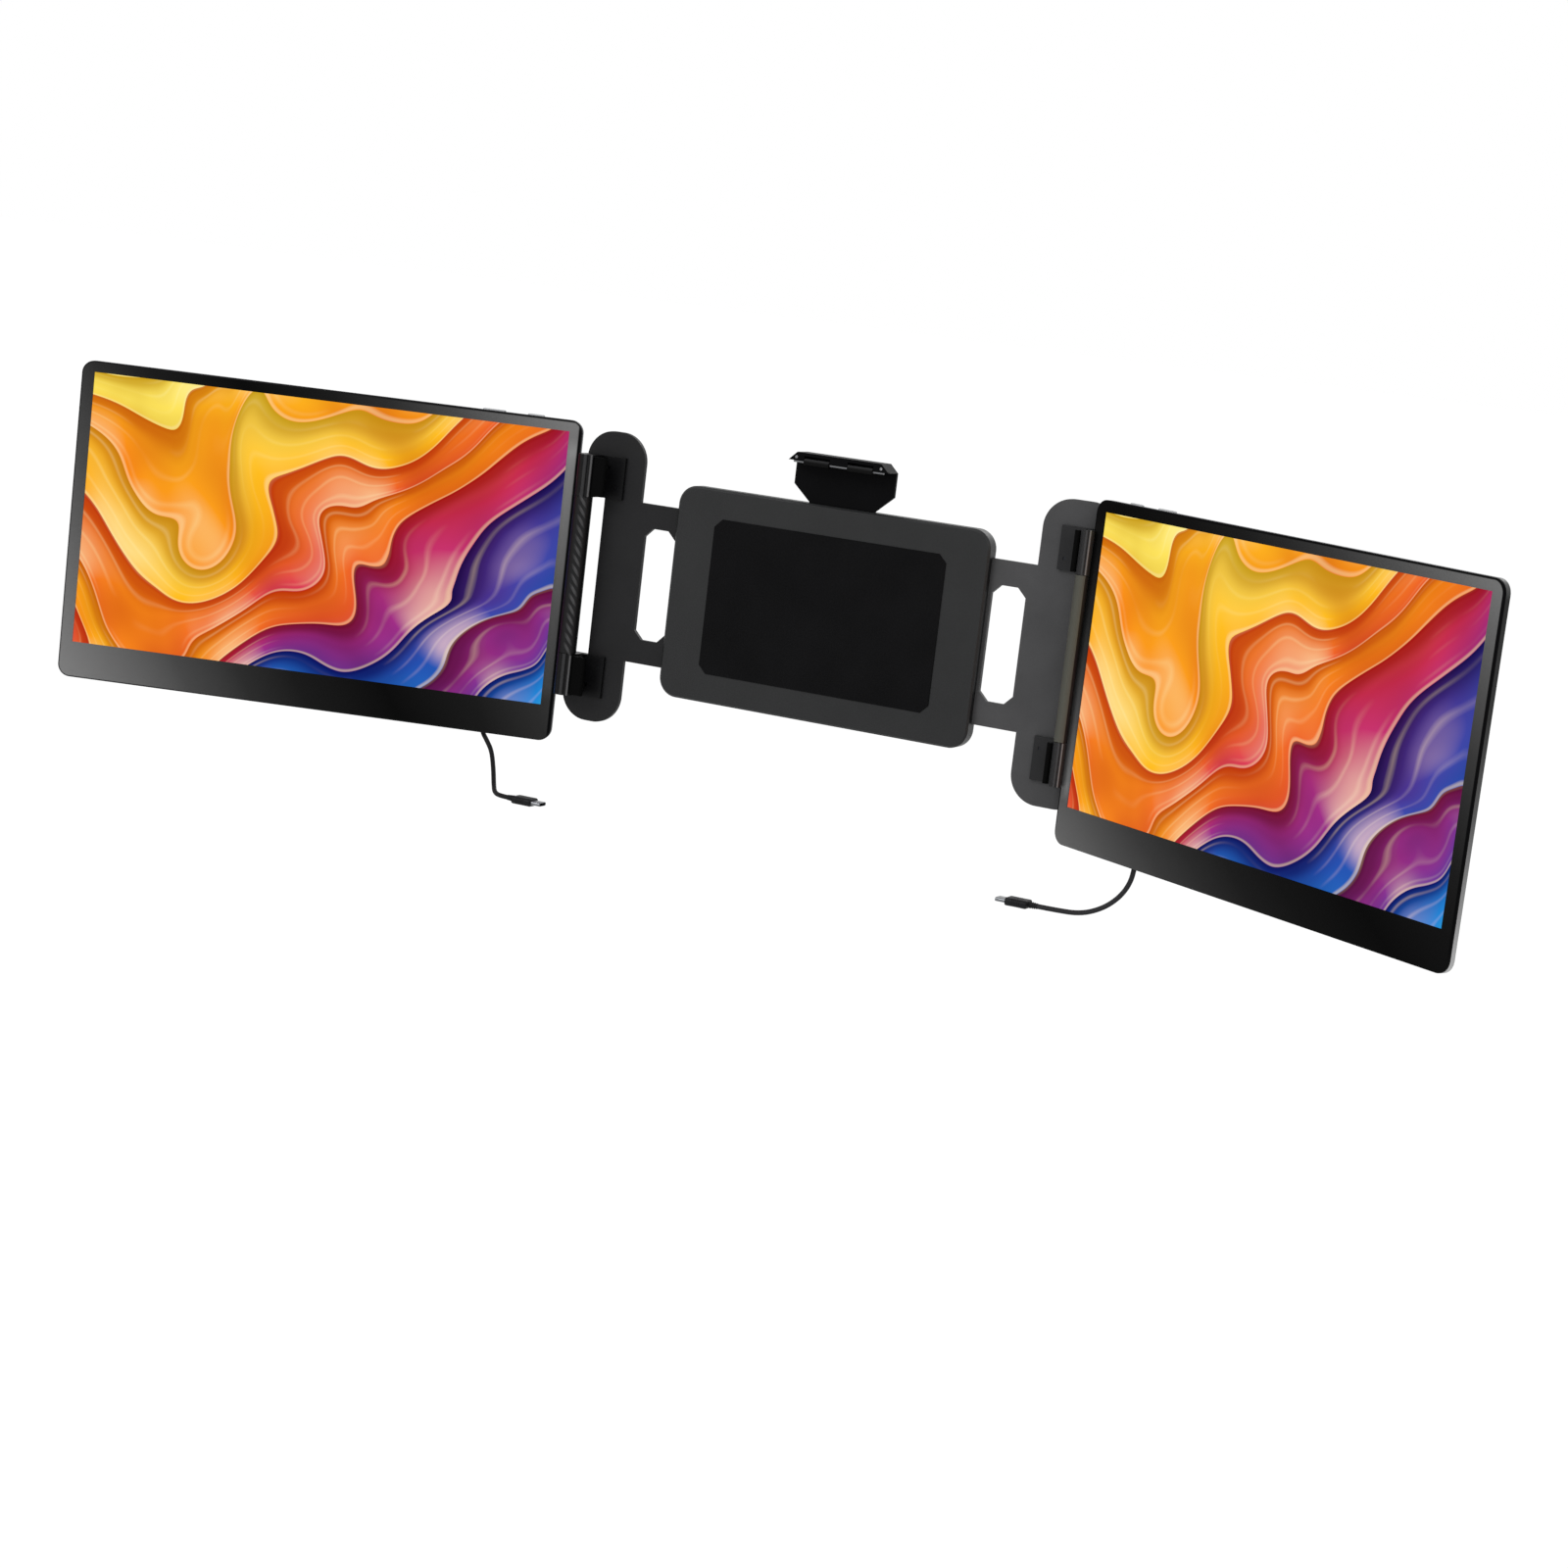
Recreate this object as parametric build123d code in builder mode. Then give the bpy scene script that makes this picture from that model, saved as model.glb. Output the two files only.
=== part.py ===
# Two 14 inch portable monitors on a bracket that clips to the lid of a laptop.
# The frame stands up like the lid: X to the right, Y away from the viewer, Z up.
# The origin is the middle of the pad face that the back of the lid rests against.
import os
from dataclasses import dataclass
from math import cos, pi, radians, sin, tan

from build123d import *

os.makedirs("parts", exist_ok=True)

# Lid that the bracket holds
lid_thickness = 5.5
lid_play = 0.5
grip_half = 162.8
lid_top = 90.6

# Screens
view_width = 309.4
view_height = 174.0
bezel_side = 8.3
bezel_top = 7.0
bezel_chin = 23.0
screen_top = 94.5
screen_corner = 8.0
slab_depth = 6.2
frame_depth = 1.5
lip_depth = 0.6
panel_depth = 0.9
light_depth = 1.1
cover_wall = 1.3
cover_back = 1.0
cover_bevel = 1.6
bump_depth = 3.0
bump_width = 236.0
bump_height = 62.0
bump_wall = 1.2
bump_corner = 7.0
bump_bevel = 1.0
vent_width = 2.2
vent_height = 12.0
vent_pitch = 8.0
board_length = 150.0
stow_gap = 1.6
layer_gap = 0.9

# How far each screen is swung towards the viewer in the photograph
left_swing = 19.1
right_swing = 30.2

# Hinge columns
left_column = 5.75
right_column = 4.0
left_edge = 7.8
right_edge = -0.4
knuckle_low = 49.6
knuckle_high = 75.9
pin_radius = 2.0
pin_fit = 0.05
end_play = 0.3
strip_depth = 0.7
flange_width = 27.0
flange_depth = 1.6

# Claws
claw_depth = 2.5
claw_margin = 1.0
left_claw_reach = 8.7
right_claw_reach = 3.2
left_claw_wall = 2.4
right_claw_wall = 1.5

# Arms
arm_y = 5.9
arm_depth = 3.0
tongue_half = 50.0
tongue_inner = 20.0
ear_inner = 134.0
ear_half = 91.5
ear_corner = 18.0
left_ear_reach = 175.2
right_ear_reach = 181.0
window_inset = 3.0
foot_width = 16.0
foot_depth = 2.0
arm_travel = 45.0
opening_width = 22.0
opening_height = 70.0
opening_gap = 5.0

# Housing of the bracket
pad_depth = 0.6
pad_half_width = 78.0
pad_half_height = 48.0
house_half_width = 105.0
house_half_height = 66.0
house_corner = 12.0
house_wall = 1.6
house_back = 2.2
house_bevel = 1.2
rib_x = 52.0
post_wall = 2.0
slide_gap = 0.25
guide_x = 74.0
guide_z = 30.0
guide_radius = 3.0
guide_fit = 0.1

# Top clip
clip_offset = 4.5
clip_top = 96.4
clip_base_half = 33.4
clip_top_half = 28.0
clip_roof = 2.0
clip_plate_depth = 2.2
clip_slider_half = 22.0
clip_slider_low = 8.0
clip_travel = 30.0
roller_radius = 2.0
roller_length = 16.5
roller_spread = 29.0
roller_pin = 0.8
roller_proud = 1.0

# Kickstand
leg_half_width = 32.0
leg_tip_half_width = 24.0
leg_length = 80.0
leg_depth = 2.6
leg_axis_z = -55.0
leg_barrel = 2.6
leg_pin = 1.5
leg_gap = 0.4
leg_margin = 3.0
leg_recess = 0.8
grip_width = 34.0
grip_height = 13.0
foot_height = 7.0

# Sockets, plugs and cords
near_port = 46.2
far_port = 68.6
port_rise = 27.0
recess_depth = 2.8
recess_margin = 9.0
recess_wall = 1.2
plug_width = 11.2
plug_depth = 4.8
plug_length = 13.5
relief_length = 5.0
relief_taper = 0.4
tip_width = 8.25
tip_depth = 2.4
tip_length = 6.5
tip_wall = 0.35
shell_width = 8.94
shell_depth = 3.26
shell_length = 7.3
shell_wall = 0.28
port_fit = 0.2
cord_diameter = 3.0
cord_sides = 8

# Keys on the top edges
key_from_edge = 31.0
rocker_from_edge = 58.0
key_length = 11.0
rocker_length = 15.0
key_width = 2.6
key_proud = 0.9
key_stem = 3.4
key_fit = 0.25

# Screws
screw_head = 2.6
screw_head_depth = 1.1
tray_screw_length = 7.0
screw_shank = 1.3
screw_fit = 0.1

# Places that follow from the sizes
hinge_y = -lid_thickness
claw_back = -lid_thickness - lid_play
claw_front = claw_back - claw_depth
screen_width = view_width + 2 * bezel_side
screen_height = view_height + bezel_top + bezel_chin
screen_bottom = screen_top - screen_height
screen_middle = screen_top - screen_height / 2
view_middle = screen_top - bezel_top - view_height / 2
right_drop = lid_play + claw_depth + stow_gap
left_drop = right_drop + slab_depth + bump_depth + layer_gap
port_z = screen_bottom + port_rise
cover_y = arm_y + arm_depth + slide_gap
cavity_depth = slab_depth - cover_back
recess_floor = slab_depth - recess_depth - frame_depth - light_depth
port_back = slab_depth + bump_depth - shell_depth / 2 - 1.27


@dataclass
class Side:
    name: str
    sign: int
    swing: float
    column: float
    edge: float
    drop: float
    ear_reach: float
    claw_reach: float
    claw_wall: float
    web_in: float
    web_out: float
    root_out: float
    port: float

    @property
    def axis(self):
        return grip_half + self.column


left = Side(
    "left", -1, left_swing, left_column, left_edge, left_drop, left_ear_reach,
    left_claw_reach, left_claw_wall, 1.0, 5.4, left_column, near_port,
)
right = Side(
    "right", 1, right_swing, right_column, right_edge, right_drop, right_ear_reach,
    right_claw_reach, right_claw_wall, -right_column + 0.2, right_edge - 0.4,
    right_edge - 0.4, far_port,
)


# Planes of a swung screen: x runs outwards from its hinge axis, y runs up on a
# sheet and back on a level section.
def outward(s):
    return Vector(s.sign * cos(radians(s.swing)), -sin(radians(s.swing)), 0)


def toward_viewer(s):
    return Vector(-s.sign * sin(radians(s.swing)), -cos(radians(s.swing)), 0)


def sheet(s, depth):
    hinge = Vector(s.sign * s.axis, hinge_y, 0)
    spot = hinge - toward_viewer(s) * depth
    return Plane(origin=spot, x_dir=outward(s), z_dir=toward_viewer(s) * s.sign)


def section(s, z):
    spot = (s.sign * s.axis, hinge_y, z)
    return Plane(origin=spot, x_dir=outward(s), z_dir=(0, 0, s.sign))


# Planes of an arm: x runs outwards from the middle of the bracket.
def arm_sheet(s, y):
    return Plane(origin=(0, y, 0), x_dir=(s.sign, 0, 0), z_dir=(0, -s.sign, 0))


def arm_section(s, z):
    return Plane(origin=(0, 0, z), x_dir=(s.sign, 0, 0), z_dir=(0, 0, s.sign))


def back(s, depth):
    return -s.sign * depth


def up(s, height):
    return s.sign * height


def save(piece, name):
    piece.part.label = name
    export_step(piece.part, f"parts/{name}.step")
    return piece


# Rounded rectangle between two corners, with the sketch's own axes.
def window(x0, y0, x1, y1, corner=0.0, mode=Mode.ADD):
    with Locations(((x0 + x1) / 2, (y0 + y1) / 2)):
        if corner > 0:
            RectangleRounded(abs(x1 - x0), abs(y1 - y0), corner, mode=mode)
        else:
            Rectangle(abs(x1 - x0), abs(y1 - y0), mode=mode)


# Rectangle with its four corners cut off, for small mouldings.
def clipped(width, height, cut, mode=Mode.ADD):
    w = width / 2
    h = height / 2
    Polygon(
        (w - cut, -h), (w, cut - h), (w, h - cut), (w - cut, h),
        (cut - w, h), (-w, h - cut), (-w, cut - h), (cut - w, -h),
        mode=mode,
    )


# Hidden hollow between two corners, its own corners cut off inside a rounding.
def hollow(x0, y0, x1, y1, corner, mode=Mode.ADD):
    with Locations(((x0 + x1) / 2, (y0 + y1) / 2)):
        clipped(abs(x1 - x0), abs(y1 - y0), corner * 0.586, mode=mode)


# Screws and the pins inside the housing are small, so they have few sides.
def head_outline(radius, mode=Mode.ADD):
    RegularPolygon(radius, 8, rotation=22.5, mode=mode)


def shank_outline(radius, mode=Mode.ADD):
    RegularPolygon(radius, 4, rotation=45, mode=mode)


def pin_outline(radius, mode=Mode.ADD):
    RegularPolygon(radius, 16, mode=mode)


# The bracket's housing: a front tray, a back cover and the guides between them.
def house_outline(inset=0.0):
    RectangleRounded(
        2 * (house_half_width - inset), 2 * (house_half_height - inset), house_corner - inset
    )


guide_spots = [(x * guide_x, z * guide_z) for x in (-1, 1) for z in (-1, 1)]
tray_screw_spots = [(x * (house_half_width - 9), z * (house_half_height - 7)) for x in (-1, 1) for z in (-1, 1)]
tray_screw_spots += [(rib_x, house_half_height - 7), (-rib_x, house_half_height - 7)]
tray_depth = arm_y - slide_gap - pad_depth
slot_y = arm_y - slide_gap - clip_plate_depth - 0.4
front_plane = Plane(origin=(0, pad_depth, 0), x_dir=(1, 0, 0), z_dir=(0, -1, 0))
back_plane = Plane(origin=(0, cover_y + house_back, 0), x_dir=(1, 0, 0), z_dir=(0, -1, 0))

with BuildPart() as housing_front:
    with BuildSketch(front_plane):
        house_outline()
    extrude(amount=-tray_depth)
    front_edges = housing_front.faces().sort_by(Axis.Y)[0].outer_wire().edges()
    chamfer(front_edges, house_bevel)
    with BuildSketch(front_plane.offset(-house_wall)):
        hollow(
            house_wall - house_half_width, house_wall - house_half_height,
            house_half_width - house_wall, house_half_height - house_wall, house_corner - house_wall,
        )
    extrude(amount=-tray_depth, mode=Mode.SUBTRACT)
    with BuildSketch(front_plane.offset(-house_wall)):
        with Locations(*guide_spots):
            head_outline(guide_radius + post_wall)
        with Locations(*tray_screw_spots):
            shank_outline(screw_shank + post_wall)
        for side_x in (-1, 1):
            with Locations((clip_offset + side_x * (clip_slider_half + screw_fit + 1.2), 22)):
                Rectangle(2.0, 2 * (house_half_height - house_wall) - 44 - 1)
        with Locations((-rib_x, 0), (rib_x, 0)):
            Rectangle(house_wall, 2 * (house_half_height - house_wall) + 1)
    extrude(amount=-(tray_depth - house_wall))
    with BuildSketch(Plane.XY.offset(house_half_height - 3)):
        window(
            clip_offset - clip_slider_half - guide_fit, slot_y - guide_fit,
            clip_offset + clip_slider_half + guide_fit, arm_y,
        )
    extrude(amount=6, mode=Mode.SUBTRACT)
    with BuildSketch(front_plane.offset(-tray_depth)):
        with Locations(*tray_screw_spots):
            shank_outline(screw_shank + screw_fit)
    extrude(amount=tray_depth - house_wall, mode=Mode.SUBTRACT)
save(housing_front, "housing_front")

rail_inner = tongue_half + slide_gap
with BuildPart() as housing_back:
    with BuildSketch(back_plane):
        house_outline()
    extrude(amount=house_back)
    back_edges = housing_back.faces().sort_by(Axis.Y)[-1].outer_wire().edges()
    chamfer(back_edges, house_bevel)
    with BuildSketch(back_plane.offset(house_back)):
        house_outline()
        Rectangle(2 * house_half_width + 2, 2 * rail_inner, mode=Mode.SUBTRACT)
    extrude(amount=arm_depth + 2 * slide_gap)
    with BuildSketch(back_plane):
        window(
            -leg_half_width - leg_margin, leg_axis_z + leg_margin,
            leg_half_width + leg_margin, leg_axis_z + leg_length + leg_margin,
        )
    extrude(amount=leg_recess, mode=Mode.SUBTRACT)
    with BuildSketch(back_plane):
        with Locations(*tray_screw_spots):
            shank_outline(screw_shank + screw_fit)
    extrude(amount=house_back + arm_depth + 2 * slide_gap, mode=Mode.SUBTRACT)
    with BuildSketch(back_plane):
        with Locations(*tray_screw_spots):
            head_outline(screw_head + screw_fit)
    extrude(amount=screw_head_depth, mode=Mode.SUBTRACT)
    # lugs that carry the kickstand's pin
    lug_y = cover_y + house_back + leg_barrel + leg_gap
    with BuildSketch(Plane.YZ.offset(leg_half_width + leg_gap)):
        with Locations((lug_y, leg_axis_z)):
            Circle(leg_barrel)
        window(cover_y + house_back - 0.5, leg_axis_z - leg_barrel, lug_y, leg_axis_z + leg_barrel)
        with Locations((lug_y, leg_axis_z)):
            pin_outline(leg_pin + 2 * pin_fit, mode=Mode.SUBTRACT)
    extrude(amount=6)
    with BuildSketch(Plane.YZ.offset(-leg_half_width - leg_gap)):
        with Locations((lug_y, leg_axis_z)):
            Circle(leg_barrel)
        window(cover_y + house_back - 0.5, leg_axis_z - leg_barrel, lug_y, leg_axis_z + leg_barrel)
        with Locations((lug_y, leg_axis_z)):
            pin_outline(leg_pin + 2 * pin_fit, mode=Mode.SUBTRACT)
    extrude(amount=-6)
save(housing_back, "housing_back")

# Steel guide pins that run in the arms' slots, between the tray and the cover
with BuildPart() as guide_pins:
    with BuildSketch(Plane(origin=(0, arm_y - slide_gap, 0), x_dir=(1, 0, 0), z_dir=(0, -1, 0))):
        with Locations(*guide_spots):
            pin_outline(guide_radius)
    extrude(amount=-(arm_depth + 2 * slide_gap))
save(guide_pins, "guide_pins")

# Soft mat that the back of the lid rests against
with BuildPart() as lid_pad:
    with BuildSketch(Plane(origin=(0, 0, 0), x_dir=(1, 0, 0), z_dir=(0, -1, 0))):
        clipped(2 * pad_half_width, 2 * pad_half_height, 5)
    extrude(amount=-pad_depth)
save(lid_pad, "lid_pad")


def screw_set(plane, spots, shank_length):
    with BuildPart() as screws:
        with BuildSketch(plane):
            with Locations(*spots):
                head_outline(screw_head)
        extrude(amount=screw_head_depth)
        with BuildSketch(plane.offset(screw_head_depth)):
            with Locations(*spots):
                shank_outline(screw_shank)
        extrude(amount=shank_length)
    return screws


save(screw_set(back_plane, tray_screw_spots, tray_screw_length), "housing_screws")

# Kickstand: a leg that folds down from the back, its pin and its rubber foot
leg_plane_y = lug_y - leg_barrel
with BuildPart() as kickstand_leg:
    with BuildSketch(Plane(origin=(0, leg_plane_y, 0), x_dir=(1, 0, 0), z_dir=(0, -1, 0))):
        with BuildLine():
            Polyline(
                (-leg_half_width, leg_axis_z),
                (leg_half_width, leg_axis_z),
                (leg_half_width, leg_axis_z + 12),
                (leg_tip_half_width, leg_axis_z + leg_length - foot_height),
                (-leg_tip_half_width, leg_axis_z + leg_length - foot_height),
                (-leg_half_width, leg_axis_z + 12),
                close=True,
            )
        make_face()
        with Locations((0, leg_axis_z + leg_length / 2)):
            clipped(grip_width, grip_height, grip_height / 3, mode=Mode.SUBTRACT)
    extrude(amount=-leg_depth)
    with BuildSketch(Plane.YZ.offset(-leg_half_width)):
        with Locations((lug_y, leg_axis_z)):
            Circle(leg_barrel)
    extrude(amount=2 * leg_half_width)
    with BuildSketch(Plane.YZ.offset(-leg_half_width - 1)):
        with Locations((lug_y, leg_axis_z)):
            pin_outline(leg_pin + 2 * pin_fit)
    extrude(amount=2 * leg_half_width + 2, mode=Mode.SUBTRACT)
save(kickstand_leg, "kickstand_leg")

with BuildPart() as kickstand_foot:
    foot_low = leg_axis_z + leg_length - foot_height
    with BuildSketch(Plane(origin=(0, leg_plane_y - 0.2, 0), x_dir=(1, 0, 0), z_dir=(0, -1, 0))):
        with Locations((0, foot_low + foot_height / 2)):
            clipped(2 * leg_tip_half_width, foot_height, foot_height / 3)
    extrude(amount=-(leg_depth + 0.4))
save(kickstand_foot, "kickstand_foot")

with BuildPart() as kickstand_pin:
    with BuildSketch(Plane.YZ.offset(-leg_half_width - leg_gap - 6)):
        with Locations((lug_y, leg_axis_z)):
            pin_outline(leg_pin)
    extrude(amount=2 * (leg_half_width + leg_gap + 6))
save(kickstand_pin, "kickstand_pin")

# Top clip: a slider in the housing with a head that reaches over the lid
clip_y = arm_y - slide_gap - 0.2 - clip_plate_depth
clip_head_low = house_half_height + 0.6
roller_y = hinge_y - roller_radius - 0.15
roller_z = lid_top + 0.2
clip_front = roller_y - roller_radius + roller_proud
clip_plane = Plane(origin=(clip_offset, clip_y, 0), x_dir=(1, 0, 0), z_dir=(0, -1, 0))
with BuildPart() as clip_slider:
    with BuildSketch(clip_plane):
        window(-clip_slider_half, clip_slider_low, clip_slider_half, lid_top)
        with Locations((0, clip_slider_low + 24)):
            clipped(30, 9, 3, mode=Mode.SUBTRACT)
        with BuildLine():
            Polyline(
                (-clip_slider_half, clip_head_low),
                (clip_slider_half, clip_head_low),
                (clip_base_half, clip_head_low + 10),
                (clip_base_half, lid_top + 0.6),
                (-clip_base_half, lid_top + 0.6),
                (-clip_base_half, clip_head_low + 10),
                close=True,
            )
        make_face()
    extrude(amount=-clip_plate_depth)
save(clip_slider, "clip_slider")

# The claw is a roof over the lid's edge, closed at both ends by cheeks.
roof_low = clip_top - clip_roof
with BuildPart() as clip_claw:
    with BuildSketch(Plane(origin=(clip_offset, clip_front, 0), x_dir=(1, 0, 0), z_dir=(0, -1, 0))):
        with BuildLine():
            Polyline(
                (-clip_base_half, lid_top + 0.6),
                (clip_base_half, lid_top + 0.6),
                (clip_top_half, clip_top),
                (-clip_top_half, clip_top),
                close=True,
            )
        make_face()
    extrude(amount=-(clip_y + clip_plate_depth - clip_front))
    # hollow over the lid between the cheeks, open to the front for the rollers
    with BuildSketch(Plane(origin=(clip_offset, clip_front - 1, 0), x_dir=(1, 0, 0), z_dir=(0, -1, 0))):
        window(-roller_spread / 2 - roller_length / 2 - 0.3, lid_top, roller_spread / 2 + roller_length / 2 + 0.3, roof_low)
        with Locations((0, (lid_top + roof_low) / 2)):
            Rectangle(roller_spread - roller_length - 0.6, 8, mode=Mode.SUBTRACT)
    extrude(amount=-(1 + clip_y - 0.4 - clip_front), mode=Mode.SUBTRACT)
    with BuildSketch(Plane.YZ.offset(clip_offset - clip_base_half - 1)):
        with Locations((roller_y, roller_z)):
            head_outline(roller_pin + 3 * pin_fit)
    extrude(amount=2 * clip_base_half + 2, mode=Mode.SUBTRACT)
save(clip_claw, "clip_claw")

with BuildPart() as clip_rollers:
    for spread in (-1, 1):
        with BuildSketch(Plane.YZ.offset(clip_offset + spread * roller_spread / 2 - roller_length / 2)):
            with Locations((roller_y, roller_z)):
                Circle(roller_radius)
                head_outline(roller_pin + pin_fit, mode=Mode.SUBTRACT)
        extrude(amount=roller_length)
save(clip_rollers, "clip_rollers")

with BuildPart() as clip_pin:
    with BuildSketch(Plane.YZ.offset(clip_offset - clip_top_half - 2)):
        with Locations((roller_y, roller_z)):
            head_outline(roller_pin)
    extrude(amount=2 * (clip_top_half + 2))
save(clip_pin, "clip_pin")


# Arms: a plate with a tongue in the housing, two knuckles, the hinge pin, the
# claws' rubber pads and screws.
def make_arm(s):
    foot_x = s.axis - s.column - foot_width
    arm_screws = [
        (foot_x + 4 + 7.5 * k, z_sign * (knuckle_low + 13 + 6 * k_sign))
        for z_sign in (-1, 1)
        for k, k_sign in ((0, -1), (1, 1))
    ]
    window_x = grip_half - window_inset
    slot_half = guide_radius + guide_fit
    with BuildPart() as plate:
        with BuildSketch(arm_sheet(s, arm_y)):
            window(tongue_inner, -tongue_half, ear_inner + ear_corner, tongue_half)
            window(ear_inner, -ear_half, s.ear_reach, ear_half, ear_corner)
            window(window_x, -knuckle_low, s.ear_reach + 1, knuckle_low, mode=Mode.SUBTRACT)
            for slot_z in (-guide_z, guide_z):
                hollow(
                    guide_x - arm_travel - slot_half, slot_z - slot_half,
                    guide_x + slot_half, slot_z + slot_half, slot_half, mode=Mode.SUBTRACT,
                )
            with Locations((ear_inner - opening_gap - opening_width / 2, 0)):
                clipped(opening_width, opening_height, opening_width / 4, mode=Mode.SUBTRACT)
        extrude(amount=back(s, arm_depth))
        with BuildSketch(arm_sheet(s, arm_y)):
            with Locations(*arm_screws):
                shank_outline(screw_shank + screw_fit)
        extrude(amount=back(s, arm_depth), mode=Mode.SUBTRACT)
        with BuildSketch(arm_sheet(s, arm_y + arm_depth)):
            with Locations(*arm_screws):
                head_outline(screw_head + screw_fit)
        extrude(amount=-back(s, screw_head_depth), mode=Mode.SUBTRACT)
    save(plate, f"{s.name}_arm_plate")

    for level, z_sign in (("upper", 1), ("lower", -1)):
        z_low = knuckle_low if z_sign > 0 else -knuckle_high
        height = knuckle_high - knuckle_low
        with BuildPart() as knuckle:
            with BuildSketch(arm_section(s, z_low)):
                with Locations((s.axis, hinge_y)):
                    Circle(s.column)
                window(s.axis - s.column, hinge_y, s.axis + s.root_out, arm_y)
                window(foot_x, arm_y - foot_depth, s.axis + s.root_out, arm_y)
                with Locations((s.axis, hinge_y)):
                    Circle(pin_radius + pin_fit, mode=Mode.SUBTRACT)
            extrude(amount=up(s, height))
            with BuildSketch(arm_sheet(s, arm_y)):
                with Locations(*arm_screws):
                    shank_outline(screw_shank + screw_fit)
            extrude(amount=-back(s, foot_depth), mode=Mode.SUBTRACT)
            # grip lines down the front of the column
            with BuildSketch(arm_section(s, z_low)):
                with Locations((s.axis, hinge_y)):
                    with PolarLocations(s.column + 0.1, 3, start_angle=-90 - 28, angular_range=56, endpoint=True):
                        RegularPolygon(0.45, 4)
            extrude(amount=up(s, height), mode=Mode.SUBTRACT)
        save(knuckle, f"{s.name}_{level}_knuckle")

        inner = s.axis - s.column
        with BuildPart() as pad:
            with BuildSketch(arm_section(s, z_low + claw_margin)):
                window(inner - s.claw_wall, claw_front, inner, arm_y - foot_depth)
                window(inner - s.claw_reach, claw_front, inner, claw_back)
            extrude(amount=up(s, height - 2 * claw_margin))
            chamfer(pad.edges().filter_by(Axis.Z).sort_by(Axis.Y)[:2], 0.8)
        save(pad, f"{s.name}_{level}_claw")

    with BuildPart() as pin:
        with BuildSketch(arm_section(s, -knuckle_high + 1)):
            with Locations((s.axis, hinge_y)):
                Circle(pin_radius)
        extrude(amount=up(s, 2 * knuckle_high - 2))
    save(pin, f"{s.name}_hinge_pin")

    save(
        screw_set(
            Plane(origin=(0, arm_y + arm_depth, 0), x_dir=(1, 0, 0), z_dir=(0, -1, 0)),
            [(s.sign * x, z) for x, z in arm_screws],
            arm_depth - screw_head_depth + foot_depth - 0.2,
        ),
        f"{s.name}_arm_screws",
    )


# A USB-C plug moulded on a cord: its mating face is at the plane, its tip
# points along the plane's normal and its strain relief the other way.
def make_plug(plane):
    with BuildPart() as plug:
        with BuildSketch(plane):
            clipped(tip_width, tip_depth, tip_depth / 3)
            clipped(
                tip_width - 2 * tip_wall, tip_depth - 2 * tip_wall,
                tip_depth / 3 - tip_wall / 2, mode=Mode.SUBTRACT,
            )
        extrude(amount=tip_length)
        with BuildSketch(plane):
            clipped(plug_width, plug_depth, plug_depth / 4)
        extrude(amount=-plug_length)
        with BuildSketch(plane.offset(-plug_length)):
            RegularPolygon(cord_diameter / 2 + 0.7, cord_sides)
        extrude(amount=-relief_length)
        end = plug.faces().sort_by(Axis(plane.origin, plane.z_dir))[0]
        chamfer(end.edges(), length=relief_taper, length2=relief_length - 0.4, reference=end)
    return plug


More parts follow.
